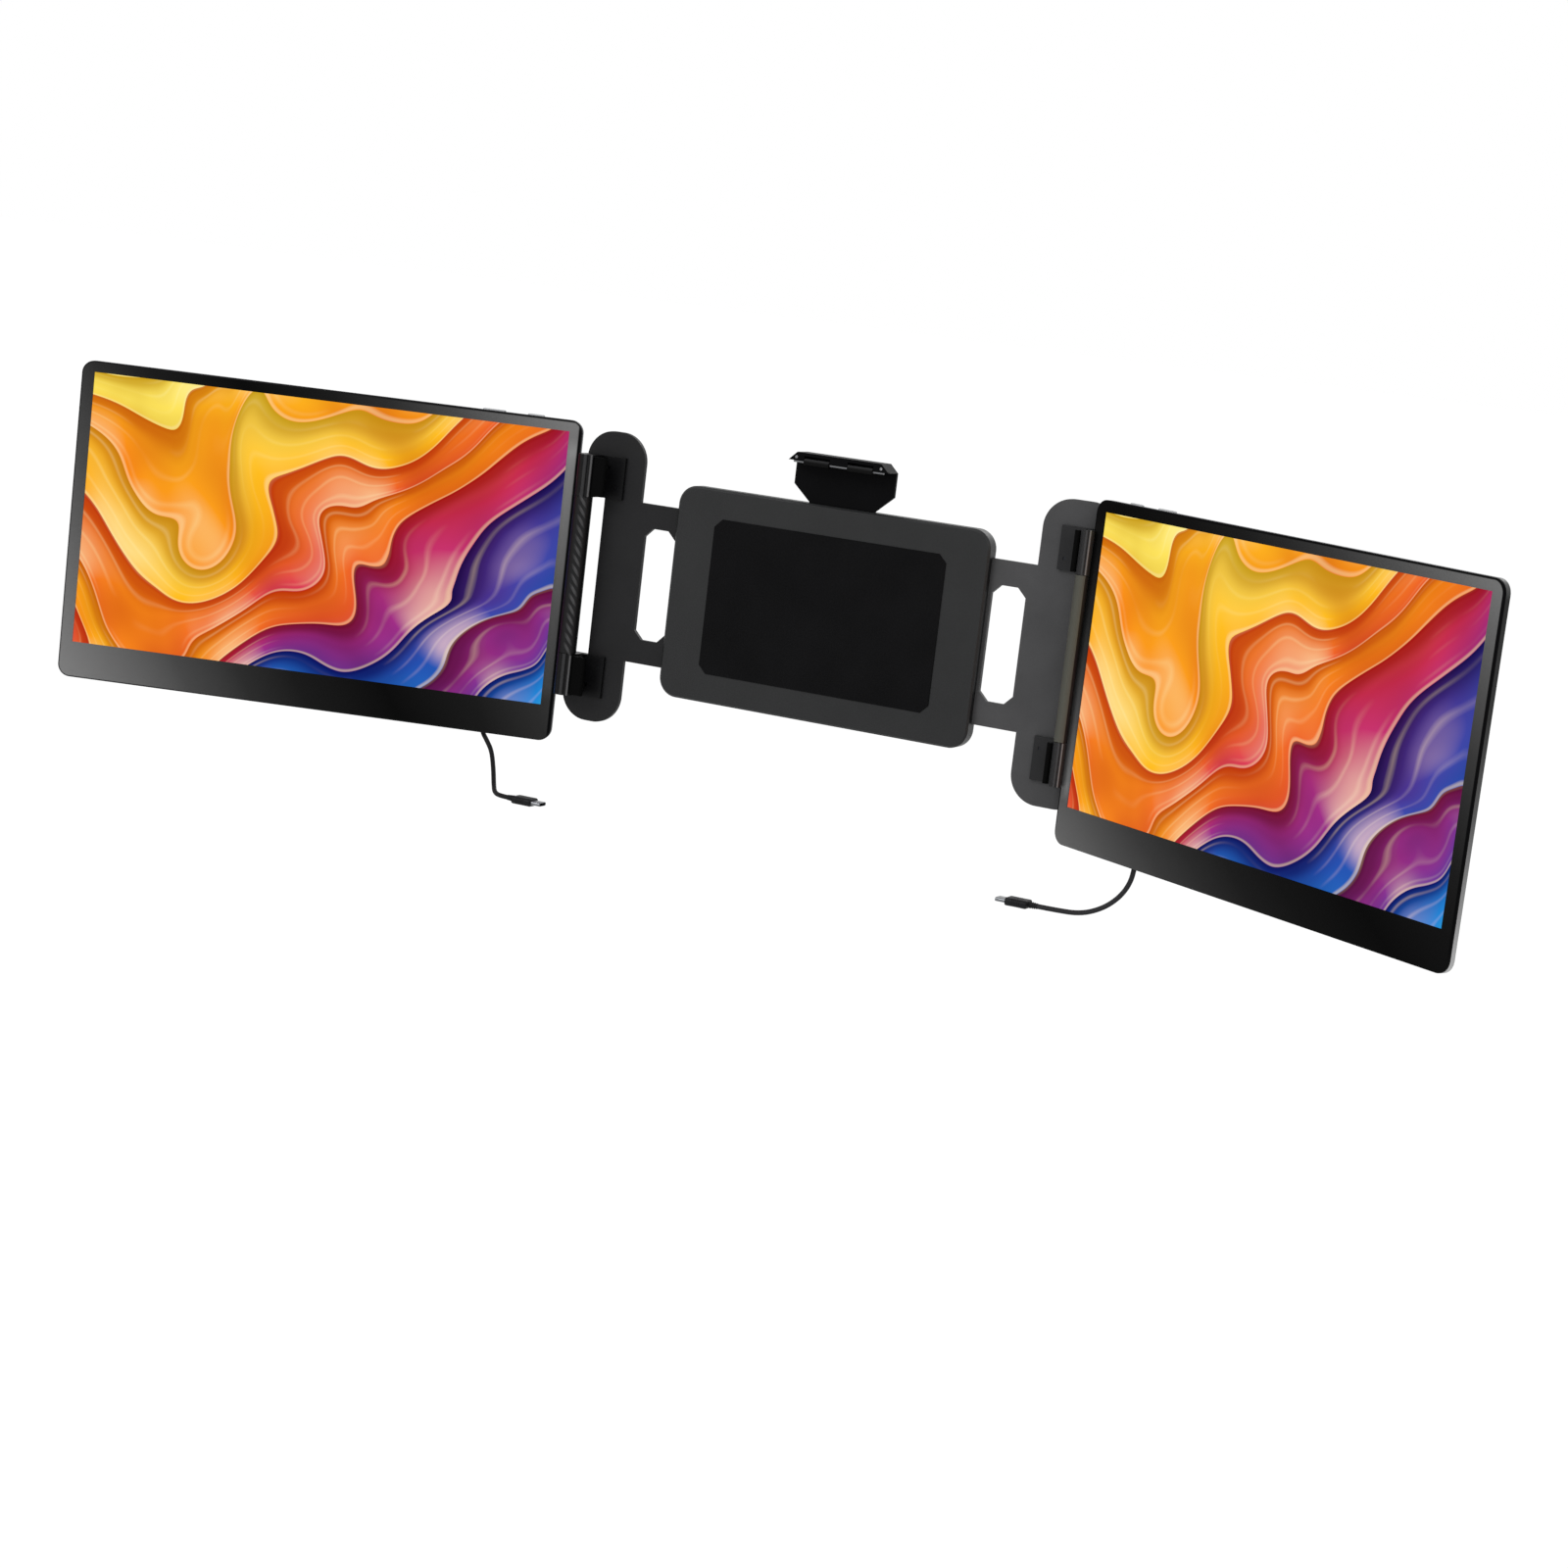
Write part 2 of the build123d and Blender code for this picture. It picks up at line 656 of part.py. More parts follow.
def make_screen(s):
    near = s.edge
    far = s.edge + screen_width
    drop = s.drop
    rear = drop + slab_depth
    leaf_half = knuckle_low - end_play
    middle = (near + far) / 2
    bump_near = near + flange_width + 4.0
    bump_far = bump_near + bump_width
    bump_low = port_z
    bump_high = port_z + bump_height
    ports = (near + near_port, near + far_port)
    recess_near = ports[0] - recess_margin
    recess_far = ports[1] + recess_margin
    key_u = near + key_from_edge
    rocker_u = near + rocker_from_edge
    key_depth = (frame_depth + slab_depth) / 2
    flange_screws = [(near + 9 + 11 * k, z) for k in (0, 1) for z in (-32, 32)]
    viewer = toward_viewer(s)
    back_axis = Axis((0, 0, 0), (-viewer.X, -viewer.Y, 0))

    with BuildPart() as frame:
        with BuildSketch(sheet(s, drop)):
            window(near, screen_bottom, far, screen_top, screen_corner)
        extrude(amount=back(s, frame_depth))
        chamfer(frame.faces().sort_by(back_axis)[0].outer_wire().edges(), 0.35)
        with BuildSketch(sheet(s, drop)):
            with Locations((middle, view_middle)):
                Rectangle(view_width, view_height)
        extrude(amount=back(s, frame_depth), mode=Mode.SUBTRACT)
        with BuildSketch(sheet(s, drop + lip_depth)):
            with Locations((middle, view_middle)):
                Rectangle(view_width + 5.4, view_height + 4.8)
        extrude(amount=back(s, frame_depth), mode=Mode.SUBTRACT)
    save(frame, f"{s.name}_front_frame")

    with BuildPart() as panel:
        with BuildSketch(sheet(s, drop + lip_depth)):
            with Locations((middle, view_middle)):
                Rectangle(view_width + 5.0, view_height + 4.4)
        extrude(amount=back(s, panel_depth))
    save(panel, f"{s.name}_lcd_panel")

    with BuildPart() as light:
        with BuildSketch(sheet(s, drop + frame_depth)):
            with Locations((middle, view_middle)):
                Rectangle(view_width + 3.4, view_height + 3.2)
        extrude(amount=back(s, light_depth))
    save(light, f"{s.name}_backlight")

    with BuildPart() as cover:
        with BuildSketch(sheet(s, drop + frame_depth)):
            window(near, screen_bottom, far, screen_top, screen_corner)
        extrude(amount=back(s, slab_depth - frame_depth))
        chamfer(cover.faces().sort_by(back_axis)[-1].outer_wire().edges(), cover_bevel)
        with BuildSketch(sheet(s, rear)):
            window(bump_near, bump_low, bump_far, bump_high, bump_corner)
        extrude(amount=back(s, bump_depth))
        chamfer(cover.faces().sort_by(back_axis)[-1].outer_wire().edges(), bump_bevel)
        with BuildSketch(sheet(s, drop + frame_depth)):
            hollow(
                near + cover_wall, screen_bottom + cover_wall, far - cover_wall,
                screen_top - cover_wall, screen_corner - cover_wall,
            )
        extrude(amount=back(s, cavity_depth - frame_depth), mode=Mode.SUBTRACT)
        with BuildSketch(sheet(s, drop + cavity_depth)):
            hollow(
                bump_near + bump_wall, bump_low + bump_wall, bump_far - bump_wall,
                bump_high - bump_wall, bump_corner - bump_wall,
            )
        extrude(amount=back(s, bump_depth), mode=Mode.SUBTRACT)
        # recess below the sockets, with its own floor, so that plugs stay within the depth
        with BuildSketch(sheet(s, rear - recess_depth - recess_floor)):
            window(recess_near - recess_wall, screen_bottom + 0.5, recess_far + recess_wall, port_z + recess_wall)
        extrude(amount=back(s, recess_depth + recess_floor - cover_back / 2))
        with BuildSketch(sheet(s, rear - recess_depth)):
            window(recess_near, screen_bottom - 1, recess_far, port_z)
        extrude(amount=back(s, recess_depth + bump_depth), mode=Mode.SUBTRACT)
        with BuildSketch(section(s, port_z - 1)):
            with Locations(*[(u, drop + port_back) for u in ports]):
                clipped(shell_width + 2 * port_fit, shell_depth + 2 * port_fit, shell_depth / 3)
        extrude(amount=up(s, 1 + recess_wall), mode=Mode.SUBTRACT)
        # holes of the keys in the top edge
        with BuildSketch(section(s, screen_top - cover_wall - 1)):
            with Locations((key_u, drop + key_depth)):
                clipped(key_length + 2 * key_fit, key_width + 2 * key_fit, key_width / 3)
            with Locations((rocker_u, drop + key_depth)):
                clipped(rocker_length + 2 * key_fit, key_width + 2 * key_fit, key_width / 3)
        extrude(amount=up(s, cover_wall + 2), mode=Mode.SUBTRACT)
        with BuildSketch(sheet(s, rear)):
            with Locations(*flange_screws):
                shank_outline(screw_shank + screw_fit)
        extrude(amount=-back(s, cover_back), mode=Mode.SUBTRACT)
        # vent slots in the bump
        with BuildSketch(sheet(s, rear + bump_depth)):
            with Locations((bump_far - bump_width / 3, bump_high - vent_height)):
                with GridLocations(vent_pitch, 1, 9, 1):
                    Rectangle(vent_width, vent_height)
        extrude(amount=-back(s, bump_wall + 0.5), mode=Mode.SUBTRACT)
    save(cover, f"{s.name}_rear_cover")

    with BuildPart() as board:
        with BuildSketch(sheet(s, drop + port_back - shell_depth / 2 - 1.0)):
            window(bump_near + 4, port_z + recess_wall + 0.4, bump_near + board_length, bump_high - 14)
        extrude(amount=back(s, 1.0))
        with BuildSketch(sheet(s, drop + port_back - shell_depth / 2)):
            with Locations((bump_near + 70, bump_low + 28), (bump_near + 104, bump_low + 30)):
                Rectangle(14, 14)
            with Locations((bump_near + 88, bump_low + 12), (bump_near + 30, bump_low + 34)):
                Rectangle(9, 6)
        extrude(amount=back(s, 1.4))
    save(board, f"{s.name}_driver_board")

    with BuildPart() as shells:
        with BuildSketch(section(s, port_z + 0.2)):
            with Locations(*[(u, drop + port_back) for u in ports]):
                clipped(shell_width, shell_depth, shell_depth / 3)
        extrude(amount=up(s, shell_length))
        with BuildSketch(section(s, port_z + 0.2)):
            with Locations(*[(u, drop + port_back) for u in ports]):
                clipped(shell_width - 2 * shell_wall, shell_depth - 2 * shell_wall, shell_depth / 3 - shell_wall / 2)
        extrude(amount=up(s, shell_length - 0.4), mode=Mode.SUBTRACT)
        with BuildSketch(section(s, port_z + 2.4)):
            with Locations(*[(u, drop + port_back) for u in ports]):
                Rectangle(6.6, 0.7)
        extrude(amount=up(s, shell_length - 2.4))
    save(shells, f"{s.name}_usb_sockets")

    # hinge leaf: the column between the knuckles, a web back past the front
    # face, and a flange screwed to the back of the screen
    with BuildPart() as leaf:
        with BuildSketch(section(s, -leaf_half)):
            Circle(s.column)
            with BuildLine():
                Polyline(
                    (s.web_in, 0),
                    (s.web_out, 0),
                    (s.web_out, drop),
                    (near, drop),
                    (near, rear),
                    (near + flange_width, rear),
                    (near + flange_width, rear + flange_depth),
                    (s.web_in, rear + flange_depth),
                    close=True,
                )
            make_face()
            Circle(pin_radius + pin_fit, mode=Mode.SUBTRACT)
        extrude(amount=up(s, 2 * leaf_half))
        with BuildSketch(section(s, -leaf_half)):
            Circle(s.column + 1)
            Circle(s.column - strip_depth, mode=Mode.SUBTRACT)
            with Locations((0, (s.column + 2) / 2 - 0.8)):
                Rectangle(2 * s.column + 4, s.column + 2, mode=Mode.SUBTRACT)
        extrude(amount=up(s, 2 * leaf_half), mode=Mode.SUBTRACT)
        with BuildSketch(sheet(s, rear + flange_depth)):
            with Locations(*flange_screws):
                head_outline(screw_head + screw_fit)
        extrude(amount=-back(s, screw_head_depth), mode=Mode.SUBTRACT)
        with BuildSketch(sheet(s, rear + flange_depth)):
            with Locations(*flange_screws):
                shank_outline(screw_shank + screw_fit)
        extrude(amount=-back(s, flange_depth), mode=Mode.SUBTRACT)
    save(leaf, f"{s.name}_hinge_leaf")

    # cover strip on the viewer's side of the column
    with BuildPart() as strip:
        with BuildSketch(section(s, -leaf_half)):
            Circle(s.column)
            Circle(s.column - strip_depth, mode=Mode.SUBTRACT)
            with Locations((0, (s.column + 2) / 2 - 0.8)):
                Rectangle(2 * s.column + 4, s.column + 2, mode=Mode.SUBTRACT)
        extrude(amount=up(s, 2 * leaf_half))
    save(strip, f"{s.name}_hinge_strip")

    flange_plane = sheet(s, rear + flange_depth)
    with BuildPart() as screws:
        with BuildSketch(flange_plane):
            with Locations(*flange_screws):
                head_outline(screw_head)
        extrude(amount=-back(s, screw_head_depth))
        with BuildSketch(flange_plane):
            with Locations(*flange_screws):
                shank_outline(screw_shank)
        extrude(amount=-back(s, flange_depth + cover_back))
    save(screws, f"{s.name}_screen_screws")

    with BuildPart() as key:
        with BuildSketch(section(s, screen_top + key_proud - key_stem)):
            with Locations((key_u, drop + key_depth)):
                clipped(key_length, key_width, key_width / 3)
        extrude(amount=up(s, key_stem))
    save(key, f"{s.name}_power_key")

    with BuildPart() as rocker:
        with BuildSketch(section(s, screen_top + key_proud - key_stem)):
            with Locations((rocker_u, drop + key_depth)):
                clipped(rocker_length, key_width, key_width / 3)
        extrude(amount=up(s, key_stem))
    save(rocker, f"{s.name}_menu_rocker")

    # monitor end of the cord, seated in its socket
    socket_spot = section(s, port_z - 0.1).from_local_coords((near + s.port, drop + port_back, 0))
    plug_plane = Plane(origin=socket_spot, x_dir=outward(s), z_dir=(0, 0, 1))
    save(make_plug(plug_plane), f"{s.name}_monitor_plug")
    relief_end = socket_spot - Vector(0, 0, plug_length + relief_length)

    # laptop end, lying where the side socket of the laptop is
    plug_face = Vector(s.sign * laptop_port_x, s.laptop_y, laptop_port_z)
    save(
        make_plug(Plane(origin=plug_face, x_dir=(0, 1, 0), z_dir=(-s.sign, 0, 0))),
        f"{s.name}_laptop_plug",
    )
    cord_end = plug_face + Vector(s.sign * (plug_length + relief_length), 0, 0)

    route = [relief_end, relief_end - Vector(0, 0, s.down_run)]
    route += [Vector(*p) for p in s.bends]
    route += [cord_end + Vector(s.sign * s.side_run, 0, 0), cord_end]
    make_cord(s, route)


# A cord is straight runs with tangent arcs, each as large as its two runs allow.
def make_cord(s, route):
    radii = []
    for a, b, c in zip(route, route[1:], route[2:]):
        turn = (b - a).get_angle(c - b)
        run = min((b - a).length, (c - b).length)
        radii.append(0.45 * run / tan(radians(turn) / 2))
    with BuildPart() as cord:
        with BuildLine() as line:
            FilletPolyline(*route, radius=radii)
        with BuildSketch(Plane(origin=route[0], z_dir=line.line % 0)):
            RegularPolygon(cord_diameter / 2, cord_sides)
        sweep()
    length = sum(edge.length for edge in line.line.edges())
    ideal = cord_sides / 2 * (cord_diameter / 2) ** 2 * sin(2 * pi / cord_sides) * length
    print(s.name, "cord", round(length, 1), "radii", [round(r, 1) for r in radii])
    print("  volume over section times length", round(cord.part.volume / ideal, 4))
    save(cord, f"{s.name}_cord")


laptop_port_x = 161.0
laptop_port_z = -141.0
left.laptop_y = -40.6
right.laptop_y = -42.0
left.down_run = 5.0
right.down_run = 9.5
left.side_run = 6.0
right.side_run = 11.0
left.bends = [
    (-224.2, -3.6, -111.0),
    (-219.7, -5.5, -114.7),
    (-213.0, -9.7, -120.0),
    (-204.9, -19.0, -129.8),
    (-197.9, -28.6, -137.4),
    (-192.4, -36.0, -140.6),
]
right.bends = [
    (229.6, -30.7, -120.0),
    (224.6, -31.8, -128.8),
    (216.2, -34.2, -136.4),
    (205.0, -38.4, -141.0),
]

for one in (left, right):
    make_arm(one)
    make_screen(one)
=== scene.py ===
import math

import bpy
from mathutils import Matrix, Vector


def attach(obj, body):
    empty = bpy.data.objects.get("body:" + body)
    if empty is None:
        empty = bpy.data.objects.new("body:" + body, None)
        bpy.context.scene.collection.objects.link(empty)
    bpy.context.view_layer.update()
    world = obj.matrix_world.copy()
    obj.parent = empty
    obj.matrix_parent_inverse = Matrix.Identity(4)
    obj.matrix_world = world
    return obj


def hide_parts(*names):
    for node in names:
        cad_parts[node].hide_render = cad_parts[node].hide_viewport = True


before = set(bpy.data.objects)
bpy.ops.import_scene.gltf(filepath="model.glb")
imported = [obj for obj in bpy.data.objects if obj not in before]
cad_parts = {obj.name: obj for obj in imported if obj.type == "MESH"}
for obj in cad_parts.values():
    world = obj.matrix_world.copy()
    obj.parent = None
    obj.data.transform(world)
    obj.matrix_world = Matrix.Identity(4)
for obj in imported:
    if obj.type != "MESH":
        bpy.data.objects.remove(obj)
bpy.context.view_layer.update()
scene = bpy.context.scene
scene.view_settings.view_transform = "Standard"
print("frame loaded,", len(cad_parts), "nodes")

mm = 0.001
screenSides = {
    "left": {"sign": -1, "swing": 19.1, "axisX": 168.55, "edge": 7.8, "drop": 14.7, "column": 5.75, "socket": 46.2},
    "right": {"sign": 1, "swing": 30.2, "axisX": 166.8, "edge": -0.4, "drop": 4.6, "column": 4.0, "socket": 68.6},
}
hingeY = -5.5


# hinge axis of a screen, its direction outwards from the column, and the one towards the viewer
def screenAxes(side):
    s = screenSides[side]
    a = math.radians(s["swing"])
    outward = Vector((s["sign"] * math.cos(a), -math.sin(a), 0))
    toViewer = Vector((-s["sign"] * math.sin(a), -math.cos(a), 0))
    hinge = Vector((s["sign"] * s["axisX"], hingeY, 0))
    return hinge, outward, toViewer


# a place on a swung screen: mm along it from the hinge, mm behind the hinge, and height
def onScreen(side, u, back, z):
    hinge, outward, toViewer = screenAxes(side)
    return (hinge + outward * u - toViewer * back + Vector((0, 0, z))) * mm


# camera, solved from the corners of both pictures
cameraSetup = {
    "place": (0.83897, -1.79759, 0.21054),
    "right": (0.889898, 0.441031, 0.116506),
    "up": (-0.173433, 0.090895, 0.980642),
    "back": (0.421904, -0.892877, 0.157376),
    "lens": 75.41, "sensor": 36, "nearest": 0.05, "furthest": 100,
}
cameraData = bpy.data.cameras.new("camera")
cameraData.sensor_width = cameraSetup["sensor"]
cameraData.lens = cameraSetup["lens"]
cameraData.clip_start = cameraSetup["nearest"]
cameraData.clip_end = cameraSetup["furthest"]
camera = bpy.data.objects.new("camera", cameraData)
scene.collection.objects.link(camera)
turn = Matrix([cameraSetup["right"], cameraSetup["up"], cameraSetup["back"]]).transposed()
camera.matrix_world = Matrix.Translation(cameraSetup["place"]) @ turn.to_4x4()
scene.camera = camera
print("camera set")


# a colour as it is written for a screen, turned to the linear one that nodes take
def colour(text):
    parts = [int(text[i:i + 2], 16) / 255 for i in (1, 3, 5)]
    return tuple(c / 12.92 if c <= 0.04045 else ((c + 0.055) / 1.055) ** 2.4 for c in parts) + (1.0,)


# stops of a ramp: tones as they are written, and plain levels from 0 to 1
def greys(*stops):
    return [(place, colour("#" + tone * 3)) for place, tone in stops]


def levels(*stops):
    return [(place, (value, value, value, 1)) for place, value in stops]


# short ways to add nodes to a tree: an input is a number, a socket or a list of sockets
class NodeSheet:
    def __init__(self, tree):
        self.tree = tree

    def node(self, kind, inputs=None, **settings):
        made = self.tree.nodes.new(kind)
        for key, value in settings.items():
            setattr(made, key, value)
        for key, value in (inputs or {}).items():
            self.put(made.inputs[key], value)
        return made

    def put(self, socket, value):
        for each in value if isinstance(value, list) else [value]:
            if isinstance(each, bpy.types.NodeSocket):
                self.tree.links.new(each, socket)
            else:
                socket.default_value = each

    def math(self, operation, a, b=0.0, c=0.0, clamp=False):
        made = self.node("ShaderNodeMath", {0: a, 1: b, 2: c}, operation=operation)
        made.use_clamp = clamp
        return made.outputs[0]

    def spread(self, value, low, high, outLow=0.0, outHigh=1.0):
        made = self.node(
            "ShaderNodeMapRange",
            {"Value": value, "From Min": low, "From Max": high, "To Min": outLow, "To Max": outHigh},
        )
        return made.outputs["Result"]


# the tree of a material whose patterns are fixed to the piece
class MaterialSheet(NodeSheet):
    def __init__(self, name):
        self.material = bpy.data.materials.new(name)
        self.material.use_nodes = True
        super().__init__(self.material.node_tree)
        self.shader = self.tree.nodes["Principled BSDF"]
        self.coords = self.node("ShaderNodeTexCoord").outputs["Object"]

    def along(self, vector, direction):
        return self.node("ShaderNodeVectorMath", {0: vector, 1: direction}, operation="DOT_PRODUCT").outputs["Value"]

    def noise(self, scale, detail=2.0, rough=0.5, vector=None, seed=None):
        inputs = {"Vector": vector or self.coords, "Scale": scale, "Detail": detail, "Roughness": rough}
        if seed is None:
            return self.node("ShaderNodeTexNoise", inputs).outputs
        return self.node("ShaderNodeTexNoise", {**inputs, "W": seed}, noise_dimensions="4D").outputs

    def ramp(self, value, stops, interpolation="LINEAR"):
        made = self.node("ShaderNodeValToRGB", {"Fac": value})
        made.color_ramp.interpolation = interpolation
        elements = made.color_ramp.elements
        while len(elements) < len(stops):
            elements.new(0.5)
        for element, (place, tone) in zip(elements, stops):
            element.position = place
            element.color = tone
        return made.outputs["Color"]

    def mix(self, factor, a, b, blend="MIX"):
        made = self.node("ShaderNodeMix", data_type="RGBA", blend_type=blend)
        self.put(made.inputs["Factor"], factor)
        self.put(made.inputs["A"], a)
        self.put(made.inputs["B"], b)
        return made.outputs["Result"]

    # relief over edges that are rounded a little, both in metres
    def bump(self, height, strength, distance, edge):
        soft = self.node("ShaderNodeBevel", {"Radius": edge}, samples=4).outputs["Normal"]
        return self.node(
            "ShaderNodeBump", {"Height": height, "Strength": strength, "Distance": distance, "Normal": soft}
        ).outputs["Normal"]

    # the tone that a finish has put on so far
    def plainTone(self):
        return self.shader.inputs["Base Color"].links[0].from_socket

    # distance along a direction from a place, both in metres
    def measure(self, direction, place):
        direction = Vector(direction)
        return self.math("SUBTRACT", self.along(self.coords, tuple(direction)), direction.dot(place))


# what all moulded and painted surfaces share: scale and weight of cloudy and fine tone
mouldedSetup = {
    "patchScale": 28, "patchTone": 0.45, "speckleTone": 0.55, "patchRough": 0.10, "speckleRough": 0.08,
    "leastTone": 0.0006, "reliefDepth": 0.2,
}


# satin or matt moulded surface: fine grain, faint cloudy tone, soft edges
def mouldedFinish(name, tone, rough=0.5, shine=0.12, grain=2600, relief=0.03, cloud=0.2, edge=0.25):
    m = mouldedSetup
    paper = MaterialSheet(name)
    fine = paper.noise(grain, 3.0, 0.6)["Fac"]
    broad = paper.noise(m["patchScale"], 3.0, 0.55)["Fac"]
    base = colour(tone)
    light = tuple(min(1.0, c * (1 + cloud) + m["leastTone"]) for c in base[:3]) + (1.0,)
    dark = tuple(c * (1 - cloud) for c in base[:3]) + (1.0,)
    patch = paper.math("MULTIPLY", paper.spread(broad, 0.35, 0.65), m["patchTone"])
    speckle = paper.math("MULTIPLY", paper.spread(fine, 0.32, 0.68), m["speckleTone"])
    paper.put(paper.shader.inputs["Base Color"], paper.mix(paper.math("ADD", patch, speckle), dark, light))
    patch = paper.math("MULTIPLY", broad, m["patchRough"])
    uneven = paper.math("MULTIPLY_ADD", fine, m["speckleRough"], patch)
    middle = (m["patchRough"] + m["speckleRough"]) / 2
    paper.put(paper.shader.inputs["Roughness"], paper.math("ADD", uneven, rough - middle))
    paper.put(paper.shader.inputs["Normal"], paper.bump(fine, relief, m["reliefDepth"] * mm, edge * mm))
    paper.shader.inputs["Specular IOR Level"].default_value = shine
    return paper


brushedSetup = {"lineScale": 900, "darkest": 0.72, "smoother": 0.07, "rougher": 0.10, "relief": 0.05, "edge": 0.15}


# metal turned or drawn along one axis: fine lines across its colour and roughness
def brushedFinish(name, tone, rough=0.32, stretch=(1, 40, 40)):
    b = brushedSetup
    paper = MaterialSheet(name)
    stretched = paper.node("ShaderNodeMapping", {"Vector": paper.coords, "Scale": stretch}).outputs["Vector"]
    lines = paper.noise(b["lineScale"], 2.0, 0.5, stretched)["Fac"]
    base = colour(tone)
    dark = tuple(c * b["darkest"] for c in base[:3]) + (1.0,)
    paper.put(paper.shader.inputs["Base Color"], paper.mix(lines, dark, base))
    uneven = paper.spread(lines, 0.2, 0.8, rough - b["smoother"], rough + b["rougher"])
    paper.put(paper.shader.inputs["Roughness"], uneven)
    paper.put(paper.shader.inputs["Normal"], paper.bump(lines, b["relief"], 0.1 * mm, b["edge"] * mm))
    paper.shader.inputs["Metallic"].default_value = 1.0
    return paper


# gives carried-over CAD nodes their finish
def dress(material, *nodes):
    for node in nodes:
        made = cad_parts[node]
        made.data.materials.clear()
        made.data.materials.append(material)


sharpAngle = 32


def smoothShape(mesh):
    mesh.shade_smooth()
    mesh.set_sharp_from_angle(angle=math.radians(sharpAngle))


# puts a piece on the body that it rides on and hides the CAD nodes that it stands for
def seat(piece, body, slotName, *nodes):
    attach(piece, body)
    if nodes:
        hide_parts(*nodes)
    return piece


# closed outline of a rounded rectangle, drawn in all round by inset
def roundedOutline(width, depth, corner, inset, steps=6):
    w, d, r = width / 2 - inset, depth / 2 - inset, max(corner - inset, 0.05)
    outline = []
    for cx, cy, start in ((w - r, d - r, 0), (r - w, d - r, 90), (r - w, r - d, 180), (w - r, r - d, 270)):
        for k in range(steps + 1):
            a = math.radians(start + 90 * k / steps)
            outline.append((cx + r * math.cos(a), cy + r * math.sin(a)))
    return outline


# moulded bar: rounded outlines at (distance, inset) stations, closed at both ends
def mouldedBar(name, place, along, across, size, stations, material):
    along, across, place = Vector(along), Vector(across), Vector(place)
    deep = along.cross(across)
    points, faces = [], []
    for distance, inset in stations:
        for x, y in roundedOutline(size[0], size[1], size[2], inset):
            points.append((place + across * x + deep * y + along * distance) * mm)
    count = len(points) // len(stations)
    for ring in range(len(stations) - 1):
        for k in range(count):
            a, b = ring * count + k, ring * count + (k + 1) % count
            faces.append((a, b, b + count, a + count))
    faces.append(tuple(reversed(range(count))))
    faces.append(tuple(range(len(points) - count, len(points))))
    mesh = bpy.data.meshes.new(name)
    mesh.from_pydata(points, [], faces)
    mesh.materials.append(material)
    smoothShape(mesh)
    piece = bpy.data.objects.new(name, mesh)
    scene.collection.objects.link(piece)
    return piece


# a Geometry Nodes tree whose inputs are its spots, each named size and its finish
class ShapeSheet(NodeSheet):
    kinds = {float: "NodeSocketFloat", int: "NodeSocketInt", tuple: "NodeSocketVector"}

    def __init__(self, name, sizes):
        super().__init__(bpy.data.node_groups.new(name, "GeometryNodeTree"))
        sockets = self.tree.interface
        sockets.new_socket("spots", in_out="INPUT", socket_type="NodeSocketGeometry")
        for label, value in sizes.items():
            sockets.new_socket(label, in_out="INPUT", socket_type=self.kinds[type(value)])
        sockets.new_socket("finish", in_out="INPUT", socket_type="NodeSocketMaterial")
        sockets.new_socket("shape", in_out="OUTPUT", socket_type="NodeSocketGeometry")
        self.given = self.node("NodeGroupInput").outputs

    def point(self, x=0.0, y=0.0, z=0.0):
        return self.node("ShaderNodeCombineXYZ", {"X": x, "Y": y, "Z": z}).outputs["Vector"]

    def circle(self, radius, sides):
        return self.node("GeometryNodeCurvePrimitiveCircle", {"Resolution": sides, "Radius": radius}).outputs["Curve"]

    def join(self, *parts):
        return self.node("GeometryNodeJoinGeometry", {"Geometry": list(parts)}).outputs["Geometry"]

    def shift(self, part, offset):
        return self.node("GeometryNodeTransform", {"Geometry": part, "Translation": offset}).outputs["Geometry"]

    def finishWith(self, part):
        plain = self.node("GeometryNodeRealizeInstances", {"Geometry": part}).outputs["Geometry"]
        painted = self.node("GeometryNodeSetMaterial", {"Geometry": plain, "Material": self.given["finish"]})
        self.node("NodeGroupOutput", {"shape": painted.outputs["Geometry"]})
        return self.tree


# runs a shape tree on some spots (in metres) and keeps the plain mesh that comes out
def growShape(name, tree, spots, edges, sizes, material):
    start = bpy.data.meshes.new(name + "Spots")
    start.from_pydata(spots, edges, [])
    piece = bpy.data.objects.new(name, start)
    scene.collection.objects.link(piece)
    grower = piece.modifiers.new("grower", "NODES")
    grower.node_group = tree
    values = {**sizes, "finish": material}
    for socket in tree.interface.items_tree:
        if socket.in_out == "INPUT" and socket.name in values:
            grower[socket.identifier] = values[socket.name]
    solid = bpy.data.meshes.new_from_object(piece.evaluated_get(bpy.context.evaluated_depsgraph_get()))
    piece.modifiers.remove(grower)
    piece.data = solid
    bpy.data.meshes.remove(start)
    smoothShape(solid)
    return piece


# cords and their plugs, in mm
cordSetup = {"diameter": 3.0, "left": "#121213", "right": "#252527"}
cordRoutes = {
    "left": [
        (-226.45, -3.33, -101.1), (-226.45, -3.33, -106.1), (-224.2, -3.6, -111.0), (-219.7, -5.5, -114.7),
        (-213.0, -9.7, -120.0), (-204.9, -19.0, -129.8), (-197.9, -28.6, -137.4), (-192.4, -36.0, -140.6),
        (-185.5, -40.6, -141.0), (-179.5, -40.6, -141.0),
    ],
    "right": [
        (231.23, -30.39, -101.1), (231.23, -30.39, -110.6), (229.6, -30.7, -120.0), (224.6, -31.8, -128.8),
        (216.2, -34.2, -136.4), (205.0, -38.4, -141.0), (190.5, -42.0, -141.0), (179.5, -42.0, -141.0),
    ],
}
